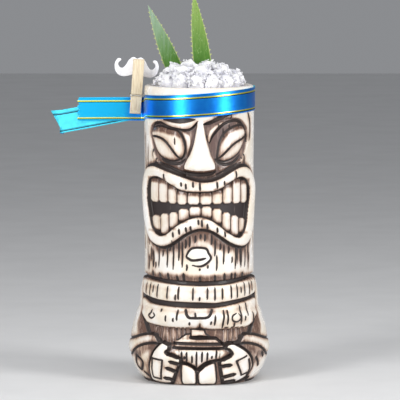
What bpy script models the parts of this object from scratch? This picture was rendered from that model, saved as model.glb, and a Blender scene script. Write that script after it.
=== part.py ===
"""Carved-style ceramic tiki mug, dressed as a served drink: a ribbon held by a small
sprung peg round its rim, crushed ice in its mouth and two spiny leaves in the ice.

Lengths are in metres. Z is up, the mug stands on z = 0 with its axis on Z, and its
face looks towards -Y. Outlines are listed in millimetres, as (x, z) seen from the front.
"""

import math

import bmesh
import bpy
from mathutils import Euler, Vector

MM = 0.001
GAP = 0.3 * MM  # clearance between pieces that touch

# Mug
MUG_HEIGHT = 195 * MM
HEAD_RADIUS = 36.2 * MM
CAVITY_RADIUS = 31.7 * MM
FLOOR_THICKNESS = 6.5 * MM
RELIEF_ROOT_RADIUS = 34 * MM  # reliefs start inside the wall, between cavity and skin
MUG_STEPS = 64

# Ribbon
RIBBON_WIDTH = 15.4 * MM
RIBBON_THICKNESS = 0.5 * MM
RIBBON_HEIGHT = 183.8 * MM  # middle of the band on the mug's axis
RIBBON_TILT = math.radians(4)
RIBBON_FOLD_RADIUS = 1.5 * MM  # where the band turns into a tail, beside the peg
FOLD_SPREAD = 1.2 * MM  # how far each side of the band's opening stands back from the fold
FOLD_REACH = 3.1 * MM  # from the peg's axis to the fold
TAIL_START = 4.4 * MM  # from the peg's axis to where the tails leave the peg
TAIL_HEIGHT = 179.0 * MM
GATHER_LENGTH = 9 * MM  # run of band over which it sinks to the height of the tails
FRONT_TAIL = dict(side=-1, length=35 * MM, drop=0.0, sway=1.6 * MM)
BACK_TAIL = dict(side=1, length=48 * MM, drop=0.19, sway=2.4 * MM)
TAIL_SLANT = 4.4 * MM  # how far the back tail's cut end leans out at its top and in at its foot
TAIL_STEPS = 12
FOLD_STEPS = 4
BAND_STEPS = 60

# Peg
PEG_PIVOT = Vector((-41.2, 0, 189.2)) * MM
PEG_TILT = math.radians(4)
PEG_WIDTH = 7.3 * MM
COIL_RADIUS = 1.7 * MM
WIRE_RADIUS = 0.4 * MM
COIL_TURNS = 6
STEPS_PER_TURN = 12
OUTER_FACE_SLOPE = 0.065  # how much thicker each half gets from jaw to handle
OUTER_FACE_AT_PIVOT = 4.05 * MM
PEG_TOP = 22.4 * MM
PEG_BOTTOM = 13.4 * MM  # below the pivot
JAW_FACE = 0.95 * MM  # from the middle plane to each half's jaw
COIL_CLEARANCE = 2.45 * MM  # radius of the hollow that the coil sits in
LINE_NOTCH = dict(depth=0.9, half_height=1.3, height=-7.4)  # millimetres
ARM_GROOVE_DEPTH = 0.6 * MM  # across each outer face, for the spring's arm
ARM_HEIGHT = -1.1 * MM  # the arm crosses a little below the coil's axis
MOUSTACHE_THICKNESS = 2 * MM
MOUSTACHE_OFFSET = 1.2 * MM  # glued a little to the left of the peg's middle

# Ice
ICE_RADIUS = CAVITY_RADIUS - GAP
ICE_BOTTOM = 150 * MM
ICE_BED_TOP = 193.6 * MM
CHUNK_PITCH = 9.2 * MM
CHUNK_RADIUS = 6.8 * MM
NEIGHBOUR_REACH = 15 * MM  # chunks whose middles are further apart never meet
HEAP_RADIUS = 30.4 * MM
HEAP_LEFT = -26 * MM  # the heap stops here, clear of the moustache
# Rings of chunks: ring radius in pitches, count, height over the bed in mm, first angle
CHUNK_RINGS = [
    (1, 6, 4.6, 30), (2.55, 14, 3.6, 8), (0.75, 3, 12, 80), (1.7, 7, 9.4, 20),
]

# Leaves: base point, lean towards -X, length above and below it, width
LEAF_THICKNESS = 2.4 * MM
LEAVES = {
    "leaf_left": dict(base=(-16.5, 12, 205), lean=22.5, above=45.4, below=32, width=11),
    "leaf_right": dict(base=(2.4, 4, 208), lean=7.5, above=48.5, below=33, width=11.8),
}
SPINE_PITCH = 3.4  # millimetres, like the height
SPINE_HEIGHT = 0.8
LEAF_TAPER = 1.9  # power by which the blade narrows to its tip

COLOURS = {
    "ceramic": ((0.80, 0.74, 0.67), 0.25, 0.0),
    "satin": ((0.0, 0.35, 0.85), 0.35, 0.0),
    "peg_wood": ((0.80, 0.70, 0.52), 0.6, 0.0),
    "steel": ((0.55, 0.55, 0.55), 0.3, 1.0),
    "white_paint": ((0.90, 0.90, 0.92), 0.45, 0.0),
    "ice": ((0.86, 0.88, 0.95), 0.1, 0.0),
    "leaf": ((0.28, 0.50, 0.16), 0.5, 0.0),
}

# The mug's turned outer side, top to bottom, as (radius, z) in millimetres
OUTER_SIDE = [
    (33.9, 195), (35.2, 194.7), (36, 193.8), (36.2, 192), (36.2, 172), (35.9, 152),
    (35.8, 139), (36.3, 128), (36.2, 108), (35.9, 85), (36, 69.8), (34.8, 68.8),
    (34.8, 66.6), (37.2, 65.6), (37.6, 60), (37.6, 55.4), (35.6, 54.6), (35.6, 52.6),
    (38.2, 51.6), (38.8, 46), (38.4, 39.6), (36.8, 38.6), (36.9, 32), (37.8, 24),
    (38.6, 14), (38.2, 6), (36.6, 1.2), (35.4, 0),
]
INNER_SIDE = [(29, 8.2), (31.1, 11), (31.7, 14.5), (31.7, 193.6), (32.4, 194.6)]

# Front outlines
LIPS_OUTER = [
    (0, 134.5), (9, 135), (22, 141), (29, 143.8), (35, 140.5), (37.4, 132), (37.6, 116),
    (36.5, 100), (33, 91.5), (28, 90), (20, 92.5), (9, 99.5), (0, 102.5),
]
LIPS_INNER = [
    (0, 127), (10, 127.6), (20, 132.5), (28, 136), (33, 132), (34, 122), (32.6, 108),
    (29, 98), (24, 98), (15, 103.8), (7, 109.3), (0, 111),
]
NOSE = [
    (1.2, 173), (2.9, 172), (4.3, 165), (6.2, 157), (8.5, 150.5), (11, 145), (11.5, 141.5),
    (9.5, 140.2), (1, 140), (-8, 140.6), (-10.2, 142), (-9.2, 147), (-6, 152.5),
    (-4, 158), (-2.2, 165), (-0.6, 172),
]
BROW = [(2.5, 170), (14, 167.8), (22, 169.6), (29, 171.8), (33, 170.2), (33, 172.2), (3, 172.6)]
EYELID = [
    (32, 163.2), (27, 166), (20, 166.5), (14, 165), (11, 160), (10.6, 154), (12.6, 149.2),
    (17, 152.8), (22, 159), (28, 162),
]
EYEBALL = [(31, 161), (26.5, 160.4), (21, 156.8), (16, 151), (14.6, 148.6), (22, 149), (28, 153)]
HAND = [
    (33.5, 2), (33, 13), (30, 20.5), (24, 26.6), (18.5, 24), (19, 18.8), (14.2, 16.6),
    (14, 10.5), (15.4, 4.5), (18.5, 1.6),
]
LEG = [(1.4, 1.6), (1.6, 7), (4, 12.2), (8, 14.6), (10.4, 12), (10.8, 5), (10.4, 1.6)]
BELT = [(-16, 25), (-18, 30.6), (18, 30.6), (16, 25)]
CHIN_KNOT = [(-8.4, 84.4), (-5, 90), (4.5, 90), (8.4, 83.6), (4.6, 79.6), (-3.4, 81.6)]

# The moustache's right half, with z measured from the peg's axis
MOUSTACHE = [
    (0, 22.6), (2.5, 23.4), (5.4, 21.2), (7.6, 17.4), (9.7, 15.8), (11.6, 16.8), (12.2, 19),
    (11.2, 20.2), (10.5, 21.4), (12.2, 22.1), (14.1, 20), (14.5, 16), (12.6, 12), (9, 10.4),
    (5.1, 11), (0, 12.5),
]

TOOTH_GAP = 1.2
UPPER_TEETH = [-31.6, -27, -21.6, -15.4, -8.4, 0.4, 8.8, 16.2, 22.6, 27.8, 31.8]
LOWER_TEETH = [-30.2, -26.6, -21, -14.6, -7.2, 1.2, 9, 15.8, 21.8, 27, 30.4]

# Each tooth line as z on the axis and the change for each millimetre to the side
UPPER_TIP = (120.2, 0.02)
LOWER_TIP = (117.6, -0.26)
LOWER_ROOT = (111.6, -0.4)
UPPER_ROOT = dict(middle=126.4, rise=6.5, reach=30)  # a cosine wave, low in the middle

# The right arm's path: (angle from +X towards the front in degrees, radius, z, thickness)
ARM_PATH = [
    (-6, 33.6, 66, 2.6), (-3, 35, 56, 4.8), (0, 35.6, 45, 5.6), (3, 37, 35, 6.6),
    (8, 38.2, 25, 7.4), (24, 36.8, 15.5, 7.2), (44, 35.6, 11, 6.4), (58, 34.8, 10, 5),
]

# How far each relief stands proud of the mug's side, in millimetres
LAYERS = dict(low=0.8, middle=1.6, high=2.6, nose=4.2, limbs=9)
RELIEF_DEPTH = 44 * MM  # how deep the outlines reach back through the front half
RELIEF_BACK = 6 * MM  # distance from the axis to the back of the reliefs

PARTS = "tiki_mug"
CUTTERS = "tiki_mug_cutters"


def clear_scene():
    for obj in list(bpy.data.objects):
        bpy.data.objects.remove(obj)


def make_collection(name):
    collection = bpy.data.collections.new(name)
    bpy.context.scene.collection.children.link(collection)
    return collection


def make_material(name):
    colour, roughness, metallic = COLOURS[name]
    material = bpy.data.materials.new(name)
    material.use_nodes = True
    shader = material.node_tree.nodes["Principled BSDF"]
    shader.inputs["Base Color"].default_value = (*colour, 1)
    shader.inputs["Roughness"].default_value = roughness
    shader.inputs["Metallic"].default_value = metallic
    return material


def add_object(name, data, collection=PARTS, material=None):
    obj = bpy.data.objects.new(name, data)
    bpy.data.collections[collection].objects.link(obj)
    if material:
        data.materials.append(bpy.data.materials[material])
    if collection == CUTTERS:
        obj.hide_render = True
        obj.display_type = "WIRE"
    return obj


def shade_round(obj, angle=35):
    obj.data.shade_smooth()
    obj.data.set_sharp_from_angle(angle=math.radians(angle))


# ---------------------------------------------------------------- shared shapes


def turned(name, profile, closed=False, **place):
    """A profile of (radius, z) in millimetres, turned about Z."""
    mesh = bpy.data.meshes.new(name)
    points = [(r * MM, 0, z * MM) for r, z in profile]
    edges = [(i, i + 1) for i in range(len(points) - 1)]
    if closed:
        edges.append((len(points) - 1, 0))
    mesh.from_pydata(points, edges, [])
    obj = add_object(name, mesh, **place)
    screw = obj.modifiers.new("Turn", "SCREW")
    screw.steps = screw.render_steps = MUG_STEPS
    screw.use_merge_vertices = True
    screw.merge_threshold = 0.01 * MM
    return obj


def outline_curve(name, outlines, thickness, smooth):
    """Flat outlines in millimetres, filled and thickened along the curve's own Z."""
    curve = bpy.data.curves.new(name, "CURVE")
    curve.dimensions = "2D"
    curve.fill_mode = "BOTH"
    curve.extrude = thickness / 2
    curve.resolution_u = 4
    for outline in outlines:
        spline = curve.splines.new("BEZIER" if smooth else "POLY")
        points = spline.bezier_points if smooth else spline.points
        points.add(len(outline) - 1)
        for point, (x, z) in zip(points, outline):
            point.co = (x * MM, z * MM, 0) if smooth else (x * MM, z * MM, 0, 1)
        for point in spline.bezier_points:
            point.handle_left_type = point.handle_right_type = "AUTO"
        spline.use_cyclic_u = True
    return curve


def curve_to_mesh(obj):
    """Replaces a curve object with a welded mesh of the same name, place and parent."""
    bpy.context.view_layer.update()
    graph = bpy.context.evaluated_depsgraph_get()
    mesh = bpy.data.meshes.new_from_object(obj.evaluated_get(graph))
    welded = bmesh.new()
    welded.from_mesh(mesh)
    bmesh.ops.remove_doubles(welded, verts=welded.verts, dist=0.001 * MM)
    welded.to_mesh(mesh)
    welded.free()
    name, collection = obj.name, obj.users_collection[0].name
    matrix = obj.matrix_world.copy()
    bpy.data.objects.remove(obj)
    made = add_object(name, mesh, collection)
    made.matrix_world = matrix
    return made


def join(target, other, operation):
    boolean = target.modifiers.new(f"{operation} {other.name}", "BOOLEAN")
    boolean.operation = operation
    boolean.object = other


def mirrored(outline):
    return [(-x, z) for x, z in outline]


def both_sides(half):
    """A closed outline from its right half, which starts and ends on x = 0."""
    return half + mirrored(half[-2:0:-1])


# ---------------------------------------------------------------- mug


def relief_layer(name, lift):
    """A ring inside the mug's wall whose outer side stands proud of the mug by lift."""
    side = [(r + lift, z) for r, z in OUTER_SIDE[1:-1]]
    root = RELIEF_ROOT_RADIUS / MM
    return turned(name, side + [(root, side[-1][1]), (root, side[0][1])], True, collection=CUTTERS)


def front_relief(mug, name, outlines, layer, smooth=True):
    """Raises the outlines on the front half of the mug, to the height of the layer."""
    obj = add_object(name, outline_curve(name, outlines, RELIEF_DEPTH, smooth), CUTTERS)
    obj.location = (0, -RELIEF_DEPTH / 2 - RELIEF_BACK, 0)
    obj.rotation_euler = (math.radians(90), 0, 0)
    relief = curve_to_mesh(obj)
    join(relief, layer, "INTERSECT")
    join(mug, relief, "UNION")


def tooth_row(edges, roots, tips):
    """Tooth outlines between the edges; roots and tips give each end's z at x."""
    half_gap = TOOTH_GAP / 2
    teeth = []
    for left, right in zip(edges, edges[1:]):
        left, right = left + half_gap, right - half_gap
        teeth.append(
            [(left, roots(left)), (right, roots(right)), (right, tips(right)), (left, tips(left))]
        )
    return teeth


def along(line):
    """The height of a tooth line as a function of x."""
    middle, slope = line
    return lambda x: middle + slope * abs(x)


def upper_root(x):
    share = min(abs(x) / UPPER_ROOT["reach"], 1)
    return UPPER_ROOT["middle"] + UPPER_ROOT["rise"] * (1 - math.cos(math.pi * share)) / 2


def arm(name, side, mug, layer):
    """A rounded arm down the mug's flank and forward to the hand, trimmed to the wall."""
    curve = bpy.data.curves.new(name, "CURVE")
    curve.dimensions = "3D"
    curve.bevel_depth = 1 * MM
    curve.bevel_resolution = 3
    curve.resolution_u = 3
    curve.use_fill_caps = True
    spline = curve.splines.new("BEZIER")
    spline.bezier_points.add(len(ARM_PATH) - 1)
    for point, (angle, radius, z, thickness) in zip(spline.bezier_points, ARM_PATH):
        turn = math.radians(angle)
        x = side * radius * math.cos(turn)
        point.co = (x * MM, -radius * math.sin(turn) * MM, z * MM)
        point.radius = thickness
        point.handle_left_type = point.handle_right_type = "AUTO"
    limb = curve_to_mesh(add_object(name, curve, CUTTERS))
    join(limb, layer, "INTERSECT")
    join(mug, limb, "UNION")


def build_mug():
    profile = [(0, FLOOR_THICKNESS / MM), (24, FLOOR_THICKNESS / MM)]
    mug = turned("mug_body", profile + INNER_SIDE + OUTER_SIDE + [(0, 0)], material="ceramic")
    layers = {name: relief_layer(f"layer_{name}", lift) for name, lift in LAYERS.items()}
    teeth = tooth_row(UPPER_TEETH, upper_root, along(UPPER_TIP))
    teeth += tooth_row(LOWER_TEETH, along(LOWER_ROOT), along(LOWER_TIP))
    lips = [both_sides(LIPS_OUTER), both_sides(LIPS_INNER)]
    front_relief(mug, "lips", lips, layers["high"])
    front_relief(mug, "nose", [NOSE], layers["nose"])
    front_relief(mug, "brows", [BROW, mirrored(BROW)], layers["middle"], smooth=False)
    front_relief(mug, "eyelids", [EYELID, mirrored(EYELID)], layers["middle"])
    front_relief(mug, "eyeballs", [EYEBALL, mirrored(EYEBALL)], layers["low"])
    front_relief(mug, "teeth", teeth, layers["low"], smooth=False)
    front_relief(mug, "chin_knot", [CHIN_KNOT], layers["low"], smooth=False)
    front_relief(mug, "belt", [BELT], layers["low"], smooth=False)
    front_relief(mug, "legs", [LEG, mirrored(LEG)], layers["high"])
    for side, name in ((1, "right_arm"), (-1, "left_arm")):
        arm(name, side, mug, layers["limbs"])
    front_relief(mug, "hands", [HAND, mirrored(HAND)], layers["high"])


# ---------------------------------------------------------------- ribbon


def tail_rows(tail):
    """Middle points of the ribbon along a tail, from the peg to the tail's free end."""
    rows = []
    for i in range(TAIL_STEPS + 1):
        share = i / TAIL_STEPS
        distance = tail["length"] * share
        x = PEG_PIVOT.x - TAIL_START - distance
        y = tail["side"] * (GAP / 2 + RIBBON_THICKNESS / 2 + tail["sway"] * share * share)
        rows.append(Vector((x, y, TAIL_HEIGHT - tail["drop"] * distance)))
    return rows


def ribbon_rows():
    """Middle points of the ribbon, from the front tail's end to the back tail's end."""
    radius = HEAD_RADIUS + GAP + RIBBON_THICKNESS / 2
    near = GAP / 2 + RIBBON_THICKNESS / 2
    corner = PEG_PIVOT.x + FOLD_REACH
    front, back = [], []
    for i in range(FOLD_STEPS + 1):
        angle = math.radians(90 * i / FOLD_STEPS)
        x = corner + RIBBON_FOLD_RADIUS * math.sin(angle)
        y = near + RIBBON_FOLD_RADIUS * (1 - math.cos(angle))
        front.append(Vector((x, -y, TAIL_HEIGHT)))
        back.append(Vector((x, y, TAIL_HEIGHT)))
    start = math.asin((near + RIBBON_FOLD_RADIUS + FOLD_SPREAD) / radius)
    band = []
    for i in range(BAND_STEPS + 1):
        turn = 2 * (math.pi - start) * i / BAND_STEPS
        angle = math.pi + start + turn
        x, y = radius * math.cos(angle), radius * math.sin(angle)
        run = radius * min(turn, 2 * (math.pi - start) - turn)
        risen = min(run / GATHER_LENGTH, 1)
        risen = risen * risen * (3 - 2 * risen)
        level = RIBBON_HEIGHT + x * math.tan(RIBBON_TILT)
        band.append(Vector((x, y, TAIL_HEIGHT + (level - TAIL_HEIGHT) * risen)))
    return tail_rows(FRONT_TAIL)[::-1] + front + band + back[::-1] + tail_rows(BACK_TAIL)


def build_ribbon():
    rows = ribbon_rows()
    last = len(rows) - 1
    mesh = bpy.data.meshes.new("ribbon")
    grid = bmesh.new()
    bmesh.ops.create_grid(grid, x_segments=last, y_segments=1, size=1)
    for vert in grid.verts:
        number = round((vert.co.x + 1) / 2 * last)
        slant = -vert.co.y * TAIL_SLANT if number == last else 0
        vert.co = rows[number] + Vector((slant, 0, vert.co.y * RIBBON_WIDTH / 2))
    bmesh.ops.recalc_face_normals(grid, faces=grid.faces)
    grid.to_mesh(mesh)
    grid.free()
    ribbon = add_object("ribbon", mesh, material="satin")
    shell = ribbon.modifiers.new("Thickness", "SOLIDIFY")
    shell.thickness = RIBBON_THICKNESS
    shell.offset = 0
    shade_round(ribbon)


# ---------------------------------------------------------------- peg


def half_round(middle, radii, start, steps):
    """Points round a half ellipse, from the start angle below to the same angle above, in degrees."""
    points = []
    for i in range(steps + 1):
        angle = math.radians(-start + 2 * start * i / steps)
        points.append((middle[0] + radii[0] * math.cos(angle), middle[1] + radii[1] * math.sin(angle)))
    return points


def outer_face(z):
    return OUTER_FACE_AT_PIVOT / MM + OUTER_FACE_SLOPE * z


def half_profile():
    """Side view of one half, as (distance from the peg's middle plane, height) in millimetres."""
    top, bottom, jaw, clear = PEG_TOP / MM, PEG_BOTTOM / MM, JAW_FACE / MM, COIL_CLEARANCE / MM
    groove = (OUTER_FACE_AT_PIVOT - ARM_GROOVE_DEPTH) / MM
    notch = half_round(
        (jaw, LINE_NOTCH["height"]), (LINE_NOTCH["depth"], LINE_NOTCH["half_height"]), 90, 4
    )
    hollow = half_round((0, 0), (clear, clear), 90 - math.degrees(math.asin(jaw / clear)), 6)
    handle = [(3.0, top - 0.4), (3.3, top), (outer_face(top) - 0.4, top), (outer_face(top), top - 0.4)]
    arm = ARM_HEIGHT / MM
    arm_groove = [
        (outer_face(arm + 0.7), arm + 0.7), (groove, arm + 0.5),
        (groove, arm - 0.5), (outer_face(arm - 0.7), arm - 0.7),
    ]
    jaw_end = [(outer_face(2.6 - bottom), 2.6 - bottom), (jaw + 0.85, -bottom)]
    return [(jaw, 0.2 - bottom)] + notch + hollow + handle + arm_groove + jaw_end


def build_peg_half(name, side, pivot):
    outline = [(side * y, z) for y, z in half_profile()]
    half = add_object(name, outline_curve(name, [outline], PEG_WIDTH, False), material="peg_wood")
    half.rotation_euler = (math.radians(90), 0, math.radians(90))
    half.parent = pivot


def build_spring(pivot):
    """Torsion spring: turns along the peg's width, and an arm across the front half's outer face."""
    reach = OUTER_FACE_AT_PIVOT - ARM_GROOVE_DEPTH + GAP + WIRE_RADIUS
    end = PEG_WIDTH / 2 + WIRE_RADIUS + GAP
    bend = WIRE_RADIUS
    half_span = PEG_WIDTH / 2 - WIRE_RADIUS
    points = [(half_span, -reach, ARM_HEIGHT), (bend - end, -reach, ARM_HEIGHT)]
    points.append((-end, bend - reach, ARM_HEIGHT))
    points.append((-end, -COIL_RADIUS, 0))
    count = COIL_TURNS * STEPS_PER_TURN
    for i in range(1, count):
        angle = 2 * math.pi * COIL_TURNS * i / count
        x = half_span * (2 * i / count - 1)
        points.append((x, -COIL_RADIUS * math.cos(angle), COIL_RADIUS * math.sin(angle)))
    points.append((end, -COIL_RADIUS, 0))
    points.append((end, -COIL_RADIUS - bend, COIL_RADIUS / 2))
    curve = bpy.data.curves.new("clip_spring", "CURVE")
    curve.dimensions = "3D"
    curve.bevel_depth = WIRE_RADIUS
    curve.bevel_resolution = 1
    curve.use_fill_caps = True
    spline = curve.splines.new("POLY")
    spline.points.add(len(points) - 1)
    for point, place in zip(spline.points, points):
        point.co = (*place, 1)
    spring = add_object("clip_spring", curve, material="steel")
    spring.parent = pivot


def build_moustache(pivot):
    outline = both_sides(MOUSTACHE)
    curve = outline_curve("moustache", [outline], MOUSTACHE_THICKNESS, True)
    moustache = add_object("moustache", curve, material="white_paint")
    lean = math.atan(OUTER_FACE_SLOPE)
    offset = OUTER_FACE_AT_PIVOT + (GAP + MOUSTACHE_THICKNESS / 2) / math.cos(lean)
    moustache.location = (-MOUSTACHE_OFFSET, offset, 0)
    moustache.rotation_euler = (math.radians(90) - lean, 0, 0)
    moustache.parent = pivot


def build_peg():
    pivot = add_object("peg_pivot", None)
    pivot.location = PEG_PIVOT
    pivot.rotation_euler = (0, PEG_TILT, 0)
    build_peg_half("clip_front_half", -1, pivot)
    build_peg_half("clip_back_half", 1, pivot)
    build_spring(pivot)
    build_moustache(pivot)


# ---------------------------------------------------------------- leaves and ice


def leaf_outline(above, below, width):
    """Half outline in millimetres: a straight stem, then a spiny margin narrowing to a tip."""
    half = width / 2
    margin = [(half, -below), (half, 0)]
    spines = int(above / SPINE_PITCH)
    for i in range(spines):
        for share, height in ((0.15, 0), (0.75, SPINE_HEIGHT), (0.9, 0)):
            z = (i + share) * above / spines
            margin.append((half * (1 - (z / above) ** LEAF_TAPER) + height, z))
    return margin + [(0, above)] + mirrored(margin)[::-1]


def place_on_leaf(obj, leaf):
    obj.location = Vector(leaf["base"]) * MM
    obj.rotation_euler = (0, -math.radians(leaf["lean"]), 0)


def build_leaf(name, leaf):
    pivot = add_object(f"{name}_axis", None)
    place_on_leaf(pivot, leaf)
    outline = leaf_outline(leaf["above"], leaf["below"], leaf["width"])
    blade = add_object(name, outline_curve(name, [outline], LEAF_THICKNESS, False), material="leaf")
    blade.rotation_euler = (math.radians(90), 0, 0)
    blade.parent = pivot


def leaf_slot(name, leaf):
    """A box that the leaf's stem slides in, with clearance all round."""
    mesh = bpy.data.meshes.new(name)
    box = bmesh.new()
    bmesh.ops.create_cube(box, size=1)
    width = leaf["width"] * MM + 2 * GAP
    height = (leaf["below"] + leaf["above"]) * MM + GAP
    for vert in box.verts:
        vert.co.x *= width
        vert.co.y *= LEAF_THICKNESS + 2 * GAP
        vert.co.z = vert.co.z * height + (leaf["above"] - leaf["below"]) * MM / 2
    box.to_mesh(mesh)
    box.free()
    slot = add_object(name, mesh, CUTTERS)
    place_on_leaf(slot, leaf)
    return slot


def build_ice_bed(slots):
    radius, top, bottom = ICE_RADIUS / MM, ICE_BED_TOP / MM, ICE_BOTTOM / MM
    profile = [(0, top), (radius - 2.5, top), (radius, top - 2.5), (radius, bottom), (0, bottom)]
    bed = turned("ice_bed", profile, material="ice")
    for slot in slots:
        join(bed, slot, "DIFFERENCE")


def chunk_seeds():
    """Middles of the heaped chunks: one on the axis, then rings in two layers."""
    seeds = [Vector((0, 0, ICE_BED_TOP + CHUNK_RINGS[0][2] * MM))]
    for pitches, count, height, first in CHUNK_RINGS:
        radius = pitches * CHUNK_PITCH
        for i in range(count):
            angle = math.radians(first + 360 * i / count)
            x, y = radius * math.cos(angle), radius * math.sin(angle)
            seeds.append(Vector((x, y, ICE_BED_TOP + height * MM)))
    return seeds


def cut_away(chunk, point, normal):
    """Keeps the side of the plane that the normal points away from, and closes the cut."""
    geometry = chunk.verts[:] + chunk.edges[:] + chunk.faces[:]
    cut = bmesh.ops.bisect_plane(
        chunk, geom=geometry, plane_co=point, plane_no=normal, clear_outer=True, dist=1e-7
    )
    edges = [part for part in cut["geom_cut"] if isinstance(part, bmesh.types.BMEdge)]
    if edges:
        bmesh.ops.edgenet_fill(chunk, edges=edges)


def leaf_plane(seed, leaf):
    """The face of the leaf's slot that looks towards the seed, as a point and a normal."""
    lean = math.radians(leaf["lean"])
    base = Vector(leaf["base"]) * MM
    across = Vector((math.cos(lean), 0, math.sin(lean)))
    half_width = (leaf["width"] / 2 + SPINE_HEIGHT) * MM
    sides = []
    for axis, half in ((across, half_width), (Vector((0, 1, 0)), LEAF_THICKNESS / 2)):
        offset = (seed - base).dot(axis)
        facing = axis if offset > 0 else -axis
        sides.append((abs(offset) - half, base + facing * (half + GAP), -facing))
    return max(sides, key=lambda side: side[0])[1:]


def build_chunk(name, seed, seeds):
    """One chunk: a faceted ball cut flat against its neighbours, the bed, the rim and the leaves."""
    mesh = bpy.data.meshes.new(name)
    chunk = bmesh.new()
    bmesh.ops.create_icosphere(chunk, subdivisions=1, radius=CHUNK_RADIUS)
    bmesh.ops.rotate(chunk, verts=chunk.verts, matrix=turn_of(seed))
    bmesh.ops.translate(chunk, verts=chunk.verts, vec=seed)
    for other in seeds:
        apart = other - seed
        if 0 < apart.length < NEIGHBOUR_REACH:
            cut_away(chunk, seed + apart / 2 - apart.normalized() * GAP / 2, apart.normalized())
    cut_away(chunk, Vector((0, 0, ICE_BED_TOP + GAP)), Vector((0, 0, -1)))
    outward = Vector((seed.x, seed.y, 0))
    if outward.length > 1 * MM:
        cut_away(chunk, outward.normalized() * HEAP_RADIUS, outward.normalized())
    cut_away(chunk, Vector((HEAP_LEFT, 0, 0)), Vector((-1, 0, 0)))
    for leaf in LEAVES.values():
        cut_away(chunk, *leaf_plane(seed, leaf))
    bmesh.ops.remove_doubles(chunk, verts=chunk.verts, dist=0.02 * MM)
    bmesh.ops.recalc_face_normals(chunk, faces=chunk.faces)
    bmesh.ops.translate(chunk, verts=chunk.verts, vec=-seed)
    chunk.to_mesh(mesh)
    chunk.free()
    piece = add_object(name, mesh, material="ice")
    piece.location = seed


def turn_of(seed):
    """A rotation that differs from chunk to chunk."""
    return Euler((seed.x * 370, seed.y * 290, seed.z * 210)).to_matrix()


def build_ice():
    slots = [leaf_slot(f"{name}_slot", leaf) for name, leaf in LEAVES.items()]
    build_ice_bed(slots)
    seeds = chunk_seeds()
    for number, seed in enumerate(seeds, 1):
        build_chunk(f"ice_chunk_{number:02d}", seed, seeds)


def main():
    clear_scene()
    make_collection(PARTS)
    make_collection(CUTTERS)
    for name in COLOURS:
        make_material(name)
    build_mug()
    build_ribbon()
    build_peg()
    for name, leaf in LEAVES.items():
        build_leaf(name, leaf)
    build_ice()


main()
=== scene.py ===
import math
import random

import bmesh
import bpy
import numpy as np
from mathutils import Euler, Matrix, Vector


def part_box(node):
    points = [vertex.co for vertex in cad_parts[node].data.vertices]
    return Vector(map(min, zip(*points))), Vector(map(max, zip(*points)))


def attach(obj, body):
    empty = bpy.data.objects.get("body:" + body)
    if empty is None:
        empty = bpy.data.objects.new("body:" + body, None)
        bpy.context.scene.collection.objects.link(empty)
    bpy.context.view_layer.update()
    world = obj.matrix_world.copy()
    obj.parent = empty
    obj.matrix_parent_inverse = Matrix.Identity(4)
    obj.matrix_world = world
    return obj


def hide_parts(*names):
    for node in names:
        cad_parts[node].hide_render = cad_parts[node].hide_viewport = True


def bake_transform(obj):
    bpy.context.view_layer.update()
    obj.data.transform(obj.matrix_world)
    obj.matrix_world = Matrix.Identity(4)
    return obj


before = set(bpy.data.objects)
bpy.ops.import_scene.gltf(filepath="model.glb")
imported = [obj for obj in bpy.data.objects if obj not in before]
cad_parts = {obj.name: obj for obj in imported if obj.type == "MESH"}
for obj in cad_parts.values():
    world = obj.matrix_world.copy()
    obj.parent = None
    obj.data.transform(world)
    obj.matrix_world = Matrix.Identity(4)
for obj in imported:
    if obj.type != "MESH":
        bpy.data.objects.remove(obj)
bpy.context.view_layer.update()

MM = 0.001

# ---------------------------------------------------------------- materials


class Shader:
    """A Principled material with small helpers for its node tree."""

    def __init__(self, name, **values):
        self.material = bpy.data.materials.new(name)
        self.material.use_nodes = True
        self.tree = self.material.node_tree
        self.main = self.tree.nodes["Principled BSDF"]
        for key, value in values.items():
            self.main.inputs[key.replace("_", " ")].default_value = value

    def node(self, kind, **values):
        made = self.tree.nodes.new(kind)
        for key, value in values.items():
            if key in made.inputs:
                made.inputs[key].default_value = value
            else:
                setattr(made, key, value)
        return made

    def link(self, value, socket):
        """Links an output to the socket, or sets the socket's number or colour."""
        if isinstance(value, bpy.types.NodeSocket):
            self.tree.links.new(value, socket)
        else:
            socket.default_value = rgba(value) if socket.type == "RGBA" else value

    def drive(self, name, value):
        self.link(value, self.main.inputs[name])

    def attribute(self, name):
        return self.node("ShaderNodeAttribute", attribute_name=name).outputs["Fac"]

    def position(self, scale=(1, 1, 1)):
        """Object coordinates in millimetres, stretched by scale."""
        coords = self.node("ShaderNodeTexCoord").outputs["Object"]
        mapping = self.node("ShaderNodeMapping")
        mapping.inputs["Scale"].default_value = [1000 * s for s in scale]
        self.link(coords, mapping.inputs["Vector"])
        return mapping.outputs["Vector"]

    def noise(self, vector, scale, detail=3.0, rough=0.5):
        made = self.node("ShaderNodeTexNoise", Scale=scale, Detail=detail, Roughness=rough)
        self.link(vector, made.inputs["Vector"])
        return made.outputs["Fac"]

    def ramp(self, value, stops, mode="LINEAR"):
        """Colours or grey levels, each at its place from 0 to 1."""
        made = self.node("ShaderNodeValToRGB")
        made.color_ramp.interpolation = mode
        elements = made.color_ramp.elements
        while len(elements) < len(stops):
            elements.new(0.5)
        for element, (place, colour) in zip(elements, stops):
            element.position = place
            element.color = rgba(colour)
        self.link(value, made.inputs["Fac"])
        return made.outputs["Color"]

    def maths(self, operation, first, second=0.0):
        made = self.node("ShaderNodeMath", operation=operation)
        for socket, value in zip(made.inputs, (first, second)):
            self.link(value, socket)
        return made.outputs["Value"]

    def mix(self, share, first, second):
        made = self.node("ShaderNodeMix", data_type="RGBA")
        for place, value in zip((0, 6, 7), (share, first, second)):
            self.link(value, made.inputs[place])
        return made.outputs[2]

    def bump(self, height, distance, strength=1.0):
        made = self.node("ShaderNodeBump", Strength=strength, Distance=distance)
        self.link(height, made.inputs["Height"])
        self.drive("Normal", made.outputs["Normal"])


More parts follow.
